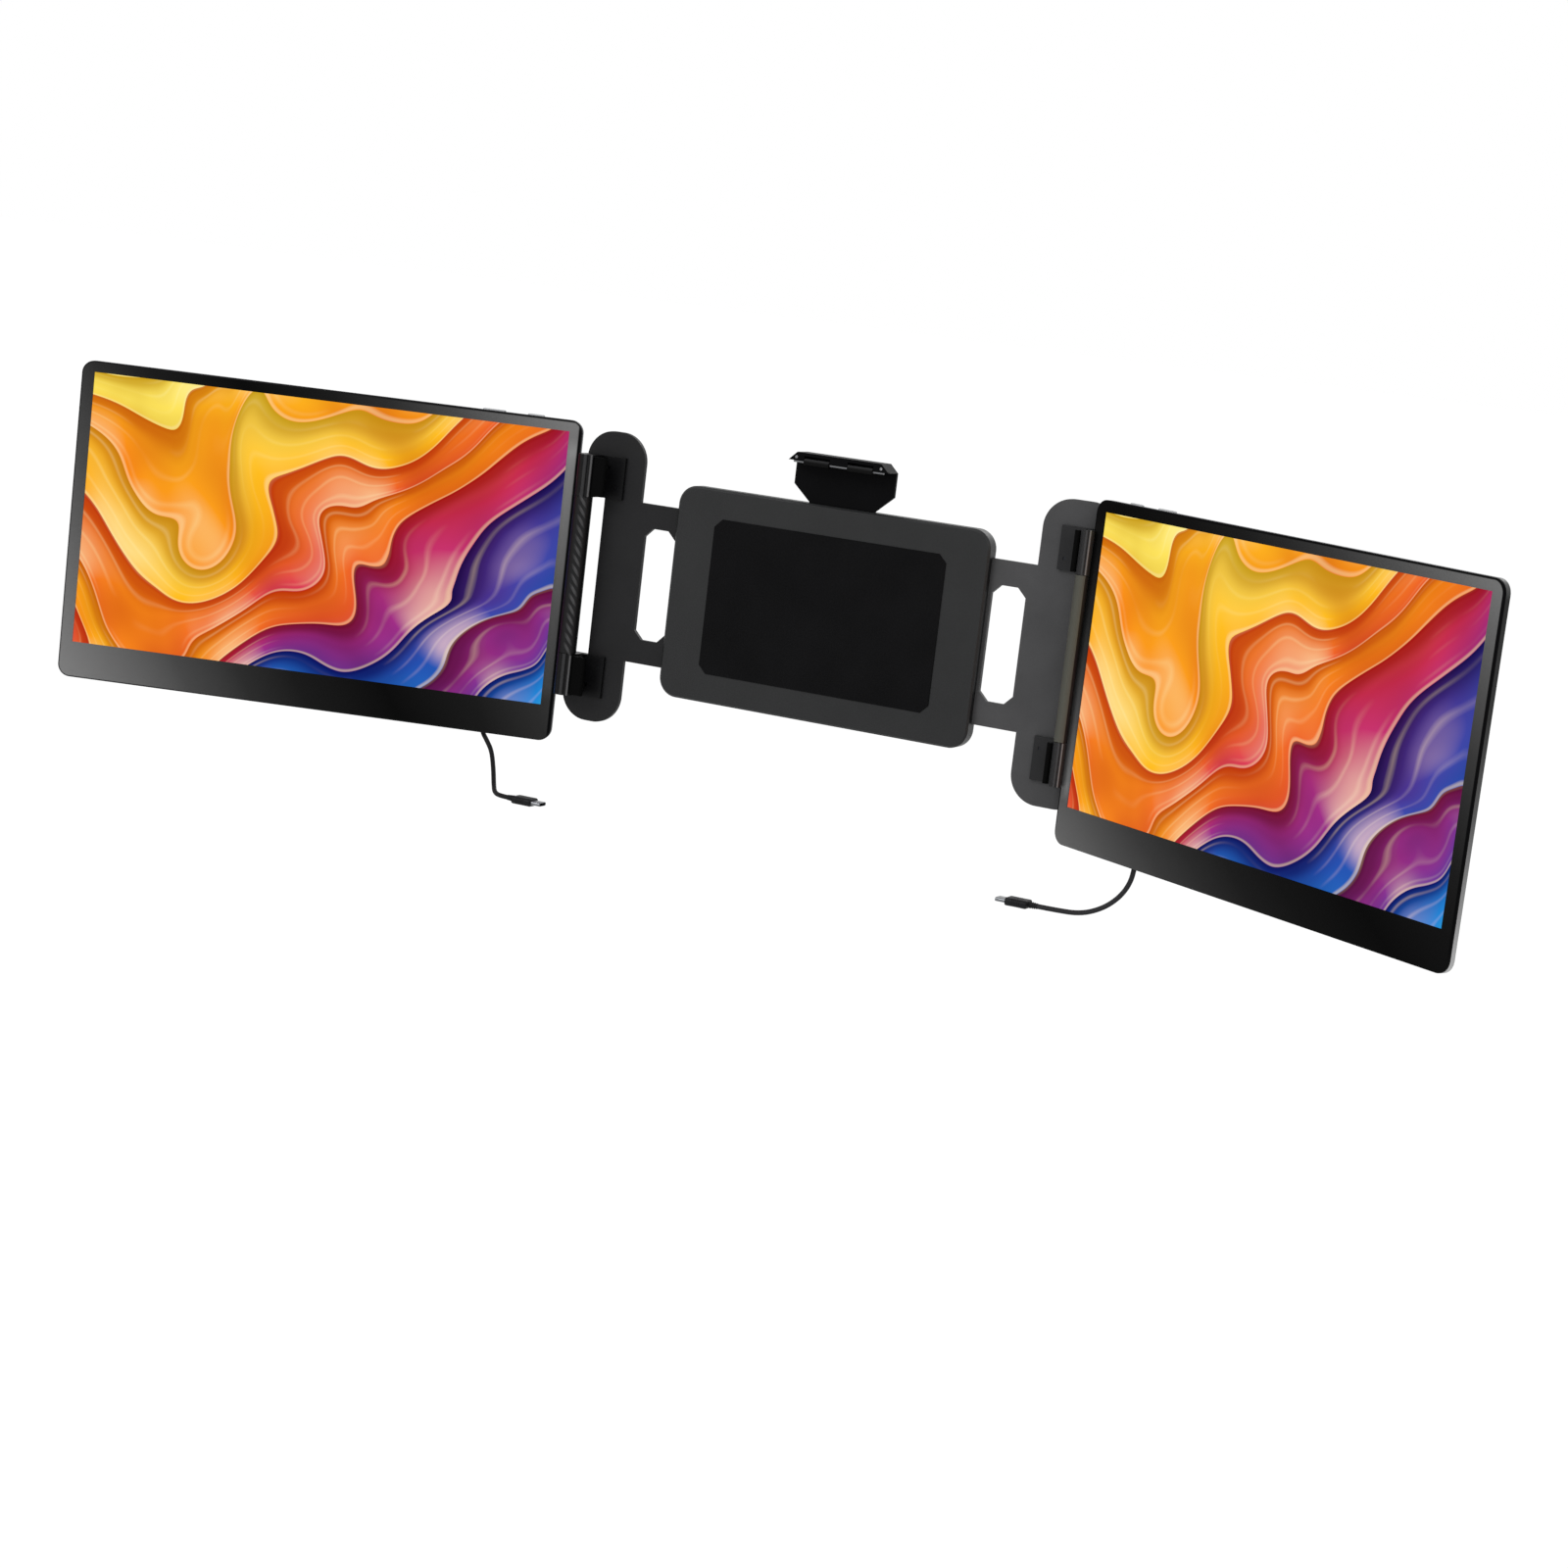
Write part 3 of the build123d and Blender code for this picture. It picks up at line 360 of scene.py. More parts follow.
# bar sizes are width, depth and corner, and outlines are (distance, inset)
plugSetup = {
    "tone": "#151618", "body": (11.2, 4.8, 2.1), "bodyLength": 13.5, "tip": (8.25, 2.4, 1.15),
    "front": [(0, 0.55), (0.12, 0.22), (0.5, 0.0)], "rear": [(-0.9, 0.0), (-0.3, 0.22), (0, 0.75)],
    "grooves": 5, "grooveStart": 4.4, "groovePitch": 1.15, "groove": [(0, 0.0), (0.15, 0.2), (0.45, 0.2), (0.6, 0.0)],
    "tube": [(-0.4, 0), (6.25, 0), (6.43, 0.06), (6.5, 0.18), (6.5, 0.32), (6.3, 0.4), (0.9, 0.4)],
    "reliefLength": 5.0, "reliefSunk": 0.3, "socketBack": 6.3, "socketZ": -82.6, "laptopX": 161.0,
}
reliefSizes = {"startRadius": 2.15 * mm, "endRadius": 1.75 * mm, "ringRadius": 0.16, "rings": 5, "sides": 28}


# ribbed strain relief: a tapered core along the line with rings round it
def reliefShape():
    sheet = ShapeSheet("reliefShape", reliefSizes)
    given = sheet.given
    line = sheet.node("GeometryNodeMeshToCurve", {"Mesh": given["spots"]}).outputs["Curve"]
    place = sheet.node("GeometryNodeSplineParameter").outputs["Factor"]
    radius = sheet.spread(place, 0.0, 1.0, given["startRadius"], given["endRadius"])
    inner = sheet.math("MULTIPLY", radius, 0.84)
    core = sheet.node(
        "GeometryNodeCurveToMesh",
        {"Curve": line, "Profile Curve": sheet.circle(1.0, given["sides"]), "Scale": inner, "Fill Caps": True},
    ).outputs["Mesh"]
    spots = sheet.node("GeometryNodeCurveToPoints", {"Curve": line, "Count": given["rings"]}).outputs
    ring = sheet.node(
        "GeometryNodeCurveToMesh",
        {"Curve": sheet.circle(0.87, given["sides"]), "Profile Curve": sheet.circle(given["ringRadius"], 8)},
    ).outputs["Mesh"]
    facing = sheet.node("FunctionNodeAlignRotationToVector", {"Vector": spots["Tangent"]}, axis="Z").outputs["Rotation"]
    last = sheet.math("SUBTRACT", given["rings"], 1)
    step = sheet.math("DIVIDE", sheet.node("GeometryNodeInputIndex").outputs["Index"], last)
    size = sheet.spread(step, 0.0, 1.0, given["startRadius"], given["endRadius"])
    rings = sheet.node(
        "GeometryNodeInstanceOnPoints",
        {"Points": spots["Points"], "Instance": ring, "Rotation": facing, "Scale": size},
    ).outputs["Instances"]
    return sheet.finishWith(sheet.join(core, rings))


reliefTree = reliefShape()
plugRubber = mouldedFinish("plugRubber", plugSetup["tone"], rough=0.48, grain=3600, relief=0.06).material
plugSteel = brushedFinish("plugSteel", "#7f8184", 0.3, (30, 30, 30)).material


# a plug whose body starts at face: grooved body away from the tip's way, steel tip, strain relief
def makePlug(side, end, face, tipWay, across):
    p = plugSetup
    name = side + "_" + end + "_plug"
    tipWay = Vector(tipWay)
    length = p["bodyLength"]
    stations = list(p["front"])
    for k in range(p["grooves"]):
        stations += [(p["grooveStart"] + p["groovePitch"] * k + distance, inset) for distance, inset in p["groove"]]
    stations += [(length + distance, inset) for distance, inset in p["rear"]]
    body = mouldedBar(name + "_body", face, -tipWay, across, p["body"], stations, plugRubber)
    tip = mouldedBar(name + "_tip", face, tipWay, across, p["tip"], p["tube"], plugSteel)
    start = (Vector(face) - tipWay * (length - p["reliefSunk"])) * mm
    finish = (Vector(face) - tipWay * (length + p["reliefLength"])) * mm
    relief = growShape(name + "_relief", reliefTree, [start, finish], [(0, 1)], reliefSizes, plugRubber)
    seat(body, side + "_screen", "plug", name)
    seat(relief, side + "_screen", "plug")
    seat(tip, side + "_screen", "socket")
    return [body, tip, relief]


for side, route in cordRoutes.items():
    cordRubber = mouldedFinish(side + "CordRubber", cordSetup[side], rough=0.55, grain=5200, relief=0.06, edge=0.05)
    s = screenSides[side]
    hinge, outward, toViewer = screenAxes(side)
    socket = onScreen(side, s["edge"] + s["socket"], s["drop"] + plugSetup["socketBack"], plugSetup["socketZ"]) / mm
    laptopFace = (s["sign"] * plugSetup["laptopX"], route[-1][1], route[-1][2])
    plugs = makePlug(side, "monitor", socket, (0, 0, 1), outward)
    plugs += makePlug(side, "laptop", laptopFace, (-s["sign"], 0, 0), (0, 1, 0))
    curve = bpy.data.curves.new(side + "CordLine", "CURVE")
    curve.dimensions = "3D"
    spline = curve.splines.new("NURBS")
    spline.points.add(len(route) - 1)
    for point, place in zip(spline.points, route):
        point.co = (place[0] * mm, place[1] * mm, place[2] * mm, 1)
    spline.order_u = 3
    spline.use_endpoint_u = True
    spline.resolution_u = 10
    curve.bevel_depth = cordSetup["diameter"] / 2 * mm
    curve.bevel_resolution = 5
    curve.use_fill_caps = True
    curve.materials.append(cordRubber.material)
    cord = bpy.data.objects.new(side + "_cord_line", curve)
    scene.collection.objects.link(cord)
    seat(cord, side + "_screen", "cord", side + "_cord")
print("cords and plugs laid")


# pictures on the screens: sizes in mm, the rest in picture heights
pictureSetup = {
    "width": 309.4, "height": 174.0, "middleZ": 0.5, "bezel": 8.3, "glow": 1.0,
    "palette": [
        (0.00, "#ffe45c"), (0.12, "#ffbd1c"), (0.27, "#f98a14"), (0.40, "#ee6127"), (0.50, "#d8335a"),
        (0.60, "#a12c85"), (0.70, "#54379b"), (0.80, "#2350b0"), (0.90, "#1f86d6"), (1.00, "#3fc3d8"),
    ],
    "shade": "#4a1038", "sheenTone": "#ffcf9a", "pleatTone": "#ffe0a0", "rimTone": "#ffe9b0",
    "toneStep": 0.381966, "driftScale": 1.1, "driftReach": 0.45, "glowScale": 2.2, "glowSwirl": 1.9, "glowReach": 0.8,
    "sheen": 0.7, "dimmed": 0.5, "pleat": 0.22, "dark": "#030304", "glossy": (0.28, 0.36),
    "seed": 83.0, "flow": (0.5, -0.75, 0.0), "folds": 4.6, "swirl": 1.4, "swirlReach": 2.1,
    "ripple": 2.4, "rippleReach": 0.3, "pleats": 3.5, "toneSpan": (-0.7, 1.15), "toneJump": 0.34, "rim": 0.35,
}


# silky folds: steps across warped coordinates, each shaded, pleated and rimmed
def screenPicture(side):
    p = pictureSetup
    s = screenSides[side]
    hinge, outward, toViewer = screenAxes(side)
    paper = MaterialSheet(side + "Picture")
    calc, noise = paper.math, paper.noise
    # x runs from the picture's left edge to its right edge on both sides, y up
    readX = outward * s["sign"]
    start = s["sign"] * (s["edge"] + p["bezel"]) - (p["width"] if s["sign"] < 0 else 0)
    corner = hinge * mm + readX * start * mm + Vector((0, 0, (p["middleZ"] - p["height"] / 2) * mm))
    x = calc("DIVIDE", paper.measure(readX, corner), p["height"] * mm)
    y = calc("DIVIDE", paper.measure((0, 0, 1), corner), p["height"] * mm)
    flat = paper.node("ShaderNodeCombineXYZ", {"X": x, "Y": y}).outputs["Vector"]

    def push(vector, scale, reach, seed):
        swirl = noise(scale, 0.0, 0.5, vector, seed)["Color"]
        centred = paper.node("ShaderNodeVectorMath", {0: swirl, 1: (0.5, 0.5, 0.5)}, operation="SUBTRACT").outputs[0]
        moved = paper.node("ShaderNodeVectorMath", {0: centred, "Scale": reach}, operation="SCALE").outputs[0]
        return paper.node("ShaderNodeVectorMath", {0: vector, 1: moved}, operation="ADD").outputs[0]

    warped = push(flat, p["swirl"], p["swirlReach"], p["seed"])
    warped = push(warped, p["ripple"], p["rippleReach"], p["seed"] + 5)
    flow = paper.along(warped, p["flow"])
    run = calc("MULTIPLY", flow, p["folds"])
    within = calc("FRACT", run)
    jump = calc("SUBTRACT", calc("FRACT", calc("MULTIPLY", calc("FLOOR", run), p["toneStep"])), 0.5)
    drift = calc("SUBTRACT", noise(p["driftScale"], 0.0, 0.5, flat, p["seed"] + 3)["Fac"], 0.5)
    place = calc("ADD", paper.spread(flow, *p["toneSpan"]), calc("MULTIPLY", jump, p["toneJump"]))
    place = calc("ADD", place, calc("MULTIPLY", drift, p["driftReach"]))
    base = paper.ramp(place, [(at, colour(tone)) for at, tone in p["palette"]])
    deep = paper.mix(1.0, base, paper.mix(0.45, base, colour(p["shade"])), "MULTIPLY")
    lit = paper.ramp(within, levels((0.0, 0.0), (0.12, 0.2), (0.45, 0.85), (0.7, 1.0)), "EASE")
    cloth = paper.mix(lit, deep, base)
    glow = noise(p["glowScale"], 1.0, 0.35, push(flat, p["glowSwirl"], p["glowReach"], p["seed"] + 9))["Fac"]
    sheen = calc("MULTIPLY", paper.spread(glow, 0.50, 0.72), paper.spread(within, 0.25, 0.85))
    cloth = paper.mix(calc("MULTIPLY", sheen, p["sheen"]), cloth, colour(p["sheenTone"]), "SCREEN")
    cloth = paper.mix(calc("MULTIPLY", paper.spread(glow, 0.50, 0.30), p["dimmed"]), cloth, deep)
    pleat = calc("PINGPONG", calc("MULTIPLY", run, p["pleats"]), 0.5)
    pleat = calc("MULTIPLY", paper.spread(pleat, 0.34, 0.5), paper.spread(glow, 0.40, 0.6))
    cloth = paper.mix(calc("MULTIPLY", pleat, p["pleat"]), cloth, colour(p["pleatTone"]), "SCREEN")
    rim = paper.ramp(within, levels((0.0, 0.0), (0.93, 0.0), (0.965, 1.0), (0.985, 0.9), (1.0, 0.0)))
    finished = paper.mix(calc("MULTIPLY", rim, p["rim"]), cloth, colour(p["rimTone"]))

    paper.put(paper.shader.inputs["Emission Color"], finished)
    paper.shader.inputs["Emission Strength"].default_value = p["glow"]
    paper.shader.inputs["Base Color"].default_value = colour(p["dark"])
    paper.put(paper.shader.inputs["Roughness"], paper.spread(noise(900, 2)["Fac"], 0, 1, *p["glossy"]))
    paper.shader.inputs["Specular IOR Level"].default_value = 0.02
    return paper.material


for side in screenSides:
    dress(screenPicture(side), side + "_lcd_panel")
print("pictures on")

# front frames: satin black with one broad soft band of painted sheen, a painted reflection, whose stops are (distance
# from its middle, tone)
frameSetup = {
    "left": {
        "sheenBandStart": 0.68, "sheenBandLean": -0.38,
        "sheenBand": [(0.0, "07"), (0.18, "17"), (0.30, "29"), (0.43, "42"), (0.55, "5f"), (0.70, "79")],
        "nearRimWidth": 2.8, "columnLift": 1.6, "outline": 0.8, "outlineTone": "#19191a", "outlineEnd": 1.1,
    },
    "right": {
        "sheenBandStart": 0.05, "sheenBandLean": 0.83,
        "sheenBand": [
            (0.0, "03"), (0.2, "0d"), (0.33, "17"), (0.45, "25"),
            (0.575, "35"), (0.7, "49"), (0.85, "5f"), (0.95, "6e"),
        ],
        "nearRimWidth": 0.0, "columnLift": 2.4, "outline": 1.2, "outlineTone": "#060607", "outlineEnd": 0.97,
    },
}
slab = {"width": 326.0, "height": 204.0, "top": 94.5, "corner": 8.0}
# faint clouds in the painted sheen band; then, in mm, what the lift beside the column covers and the dark rims,
# whose ends (topEnds across, endSoft down) are shares of the slab
cloudSetup = {"scale": 9, "reach": 0.06}
liftSetup = {"fullTo": 6, "noneFrom": 12, "fullHigh": 74, "noneHigh": 84}
rimSetup = {
    "tone": "#040405", "soft": 0.8, "topFull": 0.9, "topNone": 1.6, "topEnds": (0.5, 0.3),
    "lineSoft": 0.25, "endSoft": 0.04,
}


def frameFinish(side):
    setup = frameSetup[side]
    s = screenSides[side]
    hinge, outward, toViewer = screenAxes(side)
    corner = (hinge + outward * s["edge"]) * mm + Vector((0, 0, slab["top"] * mm))
    paper = mouldedFinish(side + "FrontFrame", "#101011", rough=0.45, shine=0.02, grain=3400, relief=0.035, edge=0.15)
    across = paper.math("DIVIDE", paper.measure(outward, corner), slab["width"] * mm)
    down = paper.math("DIVIDE", paper.measure((0, 0, -1), corner), slab["height"] * mm)
    # painted sheen: a broad lighter band leaning down the frame stands in for a soft reflection
    turn = paper.math("MULTIPLY_ADD", down, setup["sheenBandLean"], setup["sheenBandStart"])
    away = paper.math("ABSOLUTE", paper.math("SUBTRACT", across, turn))
    cloudy = paper.math("SUBTRACT", paper.noise(cloudSetup["scale"], 2)["Fac"], 0.5)
    cloudy = paper.math("MULTIPLY", cloudy, cloudSetup["reach"])
    tone = paper.ramp(paper.math("ADD", away, cloudy), greys(*setup["sheenBand"]))
    # the edge beside the column stands in its shade, so it is painted a little lighter
    beside = paper.spread(across, liftSetup["noneFrom"] / slab["width"], liftSetup["fullTo"] / slab["width"])
    high = paper.math("ABSOLUTE", paper.along(paper.coords, (0, 0, 1)))
    level = paper.spread(high, liftSetup["noneHigh"] * mm, liftSetup["fullHigh"] * mm)
    lift = setup["columnLift"]
    tone = paper.mix(paper.math("MULTIPLY", beside, level), tone, (lift, lift, lift, 1), "MULTIPLY")
    wide = setup["nearRimWidth"]
    nearRim = paper.spread(across, wide / slab["width"], (wide - rimSetup["soft"]) / slab["width"])
    topRim = paper.spread(down, rimSetup["topNone"] / slab["height"], rimSetup["topFull"] / slab["height"])
    topRim = paper.math("MULTIPLY", topRim, paper.spread(across, *rimSetup["topEnds"]))
    tone = paper.mix(paper.math("MAXIMUM", nearRim, topRim), tone, colour(rimSetup["tone"]))
    # dark outline that follows the rounded edge, from the distance to it in mm
    beyond, square = [], []
    for share, size in ((across, slab["width"]), (down, slab["height"])):
        fromMiddle = paper.math("ABSOLUTE", paper.math("MULTIPLY_ADD", share, size, -size / 2))
        beyond.append(paper.math("SUBTRACT", fromMiddle, size / 2 - slab["corner"]))
        square.append(paper.math("POWER", paper.math("MAXIMUM", beyond[-1], 0.0), 2.0))
    reach = paper.math("SQRT", paper.math("ADD", *square))
    reach = paper.math("ADD", reach, paper.math("MINIMUM", paper.math("MAXIMUM", *beyond), 0.0))
    fromEdge = paper.math("SUBTRACT", slab["corner"], reach)
    outline = paper.spread(fromEdge, setup["outline"] + rimSetup["lineSoft"], setup["outline"] - rimSetup["lineSoft"])
    end = paper.spread(down, setup["outlineEnd"], setup["outlineEnd"] - rimSetup["endSoft"])
    tone = paper.mix(paper.math("MULTIPLY", outline, end), tone, colour(setup["outlineTone"]))
    paper.put(paper.shader.inputs["Base Color"], tone)
    return paper.material


for side in screenSides:
    dress(frameFinish(side), side + "_front_frame")

# rear covers: dark blasted paint, with painted light on the outer side wall that grows paler towards the bottom
shellSetup = {
    "tone": "#47484a", "paintedWallTurn": (0.1, 0.35),
    "paintedWallLight": [(0.0, "60"), (0.05, "24"), (0.35, "2c"), (0.6, "54"), (0.85, "8c"), (1.0, "ac")],
}


def shellFinish(side):
    hinge, outward, toViewer = screenAxes(side)
    paper = mouldedFinish(
        side + "Shell", shellSetup["tone"], rough=0.42, shine=0.1, grain=4200, relief=0.05, cloud=0.08,
    )
    top = Vector((0, 0, slab["top"] * mm))
    down = paper.math("DIVIDE", paper.measure((0, 0, -1), top), slab["height"] * mm)
    # painted light: surfaces facing outwards take a lighter ramp, paler towards the bottom, in place of the plain paint
    facing = paper.along(paper.node("ShaderNodeTexCoord").outputs["Normal"], tuple(outward))
    paintedWallLight = paper.ramp(down, greys(*shellSetup["paintedWallLight"]))
    paintedWallShare = paper.spread(facing, *shellSetup["paintedWallTurn"])
    paper.put(paper.shader.inputs["Base Color"], paper.mix(paintedWallShare, paper.plainTone(), paintedWallLight))
    return paper.material


leafFinish = mouldedFinish("leafPaint", "#19191a", rough=0.42, grain=3000, relief=0.06).material
keyFinish = mouldedFinish("keyPlastic", "#a9aaac", rough=0.36, shine=0.3, grain=3800).material
diffuserFinish = mouldedFinish("lightGuide", "#dcdcda", rough=0.5, shine=0.3, grain=600).material
# keys: distance from the screen's near edge and length, then what both share
keySetup = {
    "power": (31.0, 11.0), "menu": (58.0, 15.0), "width": 2.6, "corner": 1.25, "back": 3.85, "low": 92.0,
    "rise": [(0, 0.1), (0.2, 0.0), (2.7, 0.0), (3.1, 0.1), (3.32, 0.35), (3.4, 0.7)],
}
for side in screenSides:
    dress(shellFinish(side), side + "_rear_cover")
    dress(leafFinish, side + "_hinge_leaf")
    dress(diffuserFinish, side + "_backlight")
    s = screenSides[side]
    hinge, outward, toViewer = screenAxes(side)
    for kind, node in (("power", "_power_key"), ("menu", "_menu_rocker")):
        fromEdge, length = keySetup[kind]
        foot = onScreen(side, s["edge"] + fromEdge, s["drop"] + keySetup["back"], keySetup["low"]) / mm
        size = (length, keySetup["width"], keySetup["corner"])
        key = mouldedBar(side + "_" + kind + "_cap", foot, (0, 0, 1), outward, size, keySetup["rise"], keyFinish)
        seat(key, side + node, "key", side + node)


boardSetup = {"mask": "#0f3d26", "lighter": "#134a2e", "copper": "#3c7a45", "scale": 220, "line": 0.06}


# driver board: green mask with pale lines of copper under it
def boardFinish():
    b = boardSetup
    paper = mouldedFinish("driverBoard", b["mask"], rough=0.35, shine=0.4, grain=2000)
    tracks = paper.node(
        "ShaderNodeTexBrick",
        {"Vector": paper.coords, "Color1": colour(b["mask"]), "Color2": colour(b["lighter"]),
         "Mortar": colour(b["copper"]), "Scale": b["scale"], "Mortar Size": b["line"]},
    ).outputs["Color"]
    paper.put(paper.shader.inputs["Base Color"], tracks)
    return paper.material


boardMaterial = boardFinish()
socketFinish = brushedFinish("socketSteel", "#b9bbbd", 0.28).material
for side in screenSides:
    dress(boardMaterial, side + "_driver_board")
    dress(socketFinish, side + "_usb_sockets")
print("screens dressed")

# hinge columns: each painted highlight line is a tone, the angle it stands at and its reach, in degrees
columnSetup = {
    "left": {
        "tone": "#0e0e0f", "lines": [("#2f2f30", -78.0, 16), ("#5a5a5b", -37.0, 9)],
        "strip": "#0c0c0d", "stripHighlight": "#1b1b1c",
    },
    "right": {
        "tone": "#252526", "lines": [("#3a3a3b", -82.0, 16), ("#6e6e6f", -46.0, 9)],
        "strip": "#464640", "stripHighlight": "#4c4c45",
    },
}
stripSetup = {"lightAt": -62, "full": 25, "none": 50}
ribSizes = {
    "columnRadius": 5.75 * mm, "middleAngle": math.radians(-61), "halfSweep": math.radians(37), "drop": 10.0 * mm,
    "ribRadius": 1.55 * mm, "proud": 0.28 * mm, "steps": 13,
}
# ribs: count, pitch in mm, a tone, the painted shade away from the lit angle, and that angle with the spread of the
# shade, in degrees
ribSetup = {"count": 16, "pitch": 6.2, "tone": "#3d3d3e", "dark": "#101011", "lightAt": -61, "full": 8, "none": 30}


# angle round a hinge axis, in degrees, read from the surface's own place
def angleRound(paper, side):
    hinge, outward, toViewer = screenAxes(side)
    dx = paper.measure((1, 0, 0), hinge * mm)
    dy = paper.measure((0, 1, 0), hinge * mm)
    return paper.math("DEGREES", paper.math("ARCTAN2", dy, dx))


def offAngle(paper, angle, middle):
    return paper.math("ABSOLUTE", paper.math("SUBTRACT", angle, middle))


# painted knuckles with long painted highlight lines down their rounded sides, and the strip between them, which carries
# a painted highlight too
def columnFinish(side, kind):
    setup = columnSetup[side]
    paper = mouldedFinish(side + kind, setup["tone"], rough=0.36, shine=0.1, grain=3000, relief=0.05)
    angle = angleRound(paper, side)
    if kind == "Knuckle":
        tone = paper.plainTone()
        # each light line is a painted highlight, placed by its angle round the hinge axis
        for light, at, reach in setup["lines"]:
            tone = paper.mix(paper.spread(offAngle(paper, angle, at), reach, reach * 0.35), tone, colour(light))
    else:
        # the strip's painted highlight, lighter round one angle
        lit = paper.spread(offAngle(paper, angle, stripSetup["lightAt"]), stripSetup["none"], stripSetup["full"])
        tone = paper.mix(lit, colour(setup["strip"]), colour(setup["stripHighlight"]))
    paper.put(paper.shader.inputs["Base Color"], tone)
    return paper.material


# slanting ribs of the woven look: one rib on the column's surface at each spot
def ribShape():
    sheet = ShapeSheet("ribShape", ribSizes)
    given = sheet.given
    line = sheet.node("GeometryNodeCurvePrimitiveLine", {"End": (0, 0, 1)}).outputs["Curve"]
    line = sheet.node("GeometryNodeResampleCurve", {"Curve": line, "Count": given["steps"]}).outputs["Curve"]
    place = sheet.node("GeometryNodeSplineParameter").outputs["Factor"]
    swing = sheet.math("MULTIPLY_ADD", place, 2.0, -1.0)
    angle = sheet.math("MULTIPLY_ADD", swing, given["halfSweep"], given["middleAngle"])
    reach = sheet.math("ADD", sheet.math("SUBTRACT", given["columnRadius"], given["ribRadius"]), given["proud"])
    spot = sheet.point(
        sheet.math("MULTIPLY", sheet.math("COSINE", angle), reach),
        sheet.math("MULTIPLY", sheet.math("SINE", angle), reach),
        sheet.math("MULTIPLY", swing, sheet.math("MULTIPLY", given["drop"], -0.5)),
    )
    bent = sheet.node("GeometryNodeSetPosition", {"Geometry": line, "Position": spot}).outputs["Geometry"]
    fade = sheet.math("SUBTRACT", 1.0, sheet.math("MULTIPLY", sheet.math("POWER", swing, 4.0), 0.35))
    rib = sheet.node(
        "GeometryNodeCurveToMesh",
        {"Curve": bent, "Profile Curve": sheet.circle(given["ribRadius"], 16), "Scale": fade, "Fill Caps": True},
    ).outputs["Mesh"]
    spots = sheet.node("GeometryNodeMeshToPoints", {"Mesh": given["spots"]}).outputs["Points"]
    placed = sheet.node("GeometryNodeInstanceOnPoints", {"Points": spots, "Instance": rib}).outputs["Instances"]
    return sheet.finishWith(placed)


# the ribs carry a painted highlight round one angle of the column and painted shade away from it
def ribFinish():
    paper = mouldedFinish("wovenRib", ribSetup["tone"], rough=0.36, shine=0.15, grain=3000, relief=0.05)
    off = offAngle(paper, angleRound(paper, "left"), ribSetup["lightAt"])
    shaded = paper.spread(off, ribSetup["full"], ribSetup["none"])
    paper.put(paper.shader.inputs["Base Color"], paper.mix(shaded, paper.plainTone(), colour(ribSetup["dark"])))
    return paper.material


first = -(ribSetup["count"] - 1) / 2 * ribSetup["pitch"]
ribX = screenSides["left"]["sign"] * screenSides["left"]["axisX"]
ribSpots = [(ribX * mm, hingeY * mm, (first + k * ribSetup["pitch"]) * mm) for k in range(ribSetup["count"])]
ribs = growShape("left_strip_ribs", ribShape(), ribSpots, [], ribSizes, ribFinish())
seat(ribs, "left_screen", "left_strip")

clawRubber = mouldedFinish("clawRubber", "#030303", rough=0.8, shine=0.04, grain=1800, relief=0.25).material
pinSteel = brushedFinish("pinSteel", "#7b7c7e", 0.3, (40, 40, 1)).material
# the arm plates share one paint; the left is painted darker as painted shade and the right lighter as painted light
armShadeAndLightTones = {"left": "#1c1c1d", "right": "#414142"}
for side in screenSides:
    dress(columnFinish(side, "Strip"), side + "_hinge_strip")
    dress(columnFinish(side, "Knuckle"), side + "_upper_knuckle", side + "_lower_knuckle")
    dress(clawRubber, side + "_upper_claw", side + "_lower_claw")
    dress(pinSteel, side + "_hinge_pin")
    armPaint = mouldedFinish(side + "ArmPaint", armShadeAndLightTones[side], rough=0.45, grain=2400, relief=0.12).material
    dress(armPaint, side + "_arm_plate")
print("hinge columns dressed")

# bracket; the rollers carry a painted highlight along their crest, whose height and depth are in mm
rollerSetup = {"tone": "#080808", "crestHighlight": "#343435", "crestLow": 91.5, "crestDepth": 1.1}
housingPlastic = mouldedFinish(
    "housingPlastic", "#131415", rough=0.45, shine=0.3, grain=1500, relief=0.5, cloud=0.3,
).material
matRubber = mouldedFinish("matRubber", "#0d0d0e", rough=0.85, shine=0.05, grain=900, relief=0.45, cloud=0.3).material
clipPaint = mouldedFinish("clipPaint", "#060607", rough=0.42, shine=0.03, grain=2800, relief=0.06).material
legPaint = mouldedFinish("legPaint", "#1d1e1f", rough=0.38, shine=0.3, grain=2600, relief=0.12).material


def rollerFinish():
    r = rollerSetup
    paper = mouldedFinish("rollerRubber", r["tone"], rough=0.5, shine=0.05, grain=1600, relief=0.15)
    # painted highlight along the top of the rollers
    high = paper.spread(paper.measure((0, 0, 1), Vector((0, 0, r["crestLow"] * mm))), 0.0, r["crestDepth"] * mm)
    paper.put(paper.shader.inputs["Base Color"], paper.mix(high, paper.plainTone(), colour(r["crestHighlight"])))
    return paper.material


dress(housingPlastic, "housing_front", "housing_back")
dress(matRubber, "lid_pad", "kickstand_foot")
dress(pinSteel, "guide_pins", "kickstand_pin", "clip_pin")
dress(clipPaint, "clip_slider", "clip_claw")
dress(rollerFinish(), "clip_rollers")
dress(legPaint, "kickstand_leg")

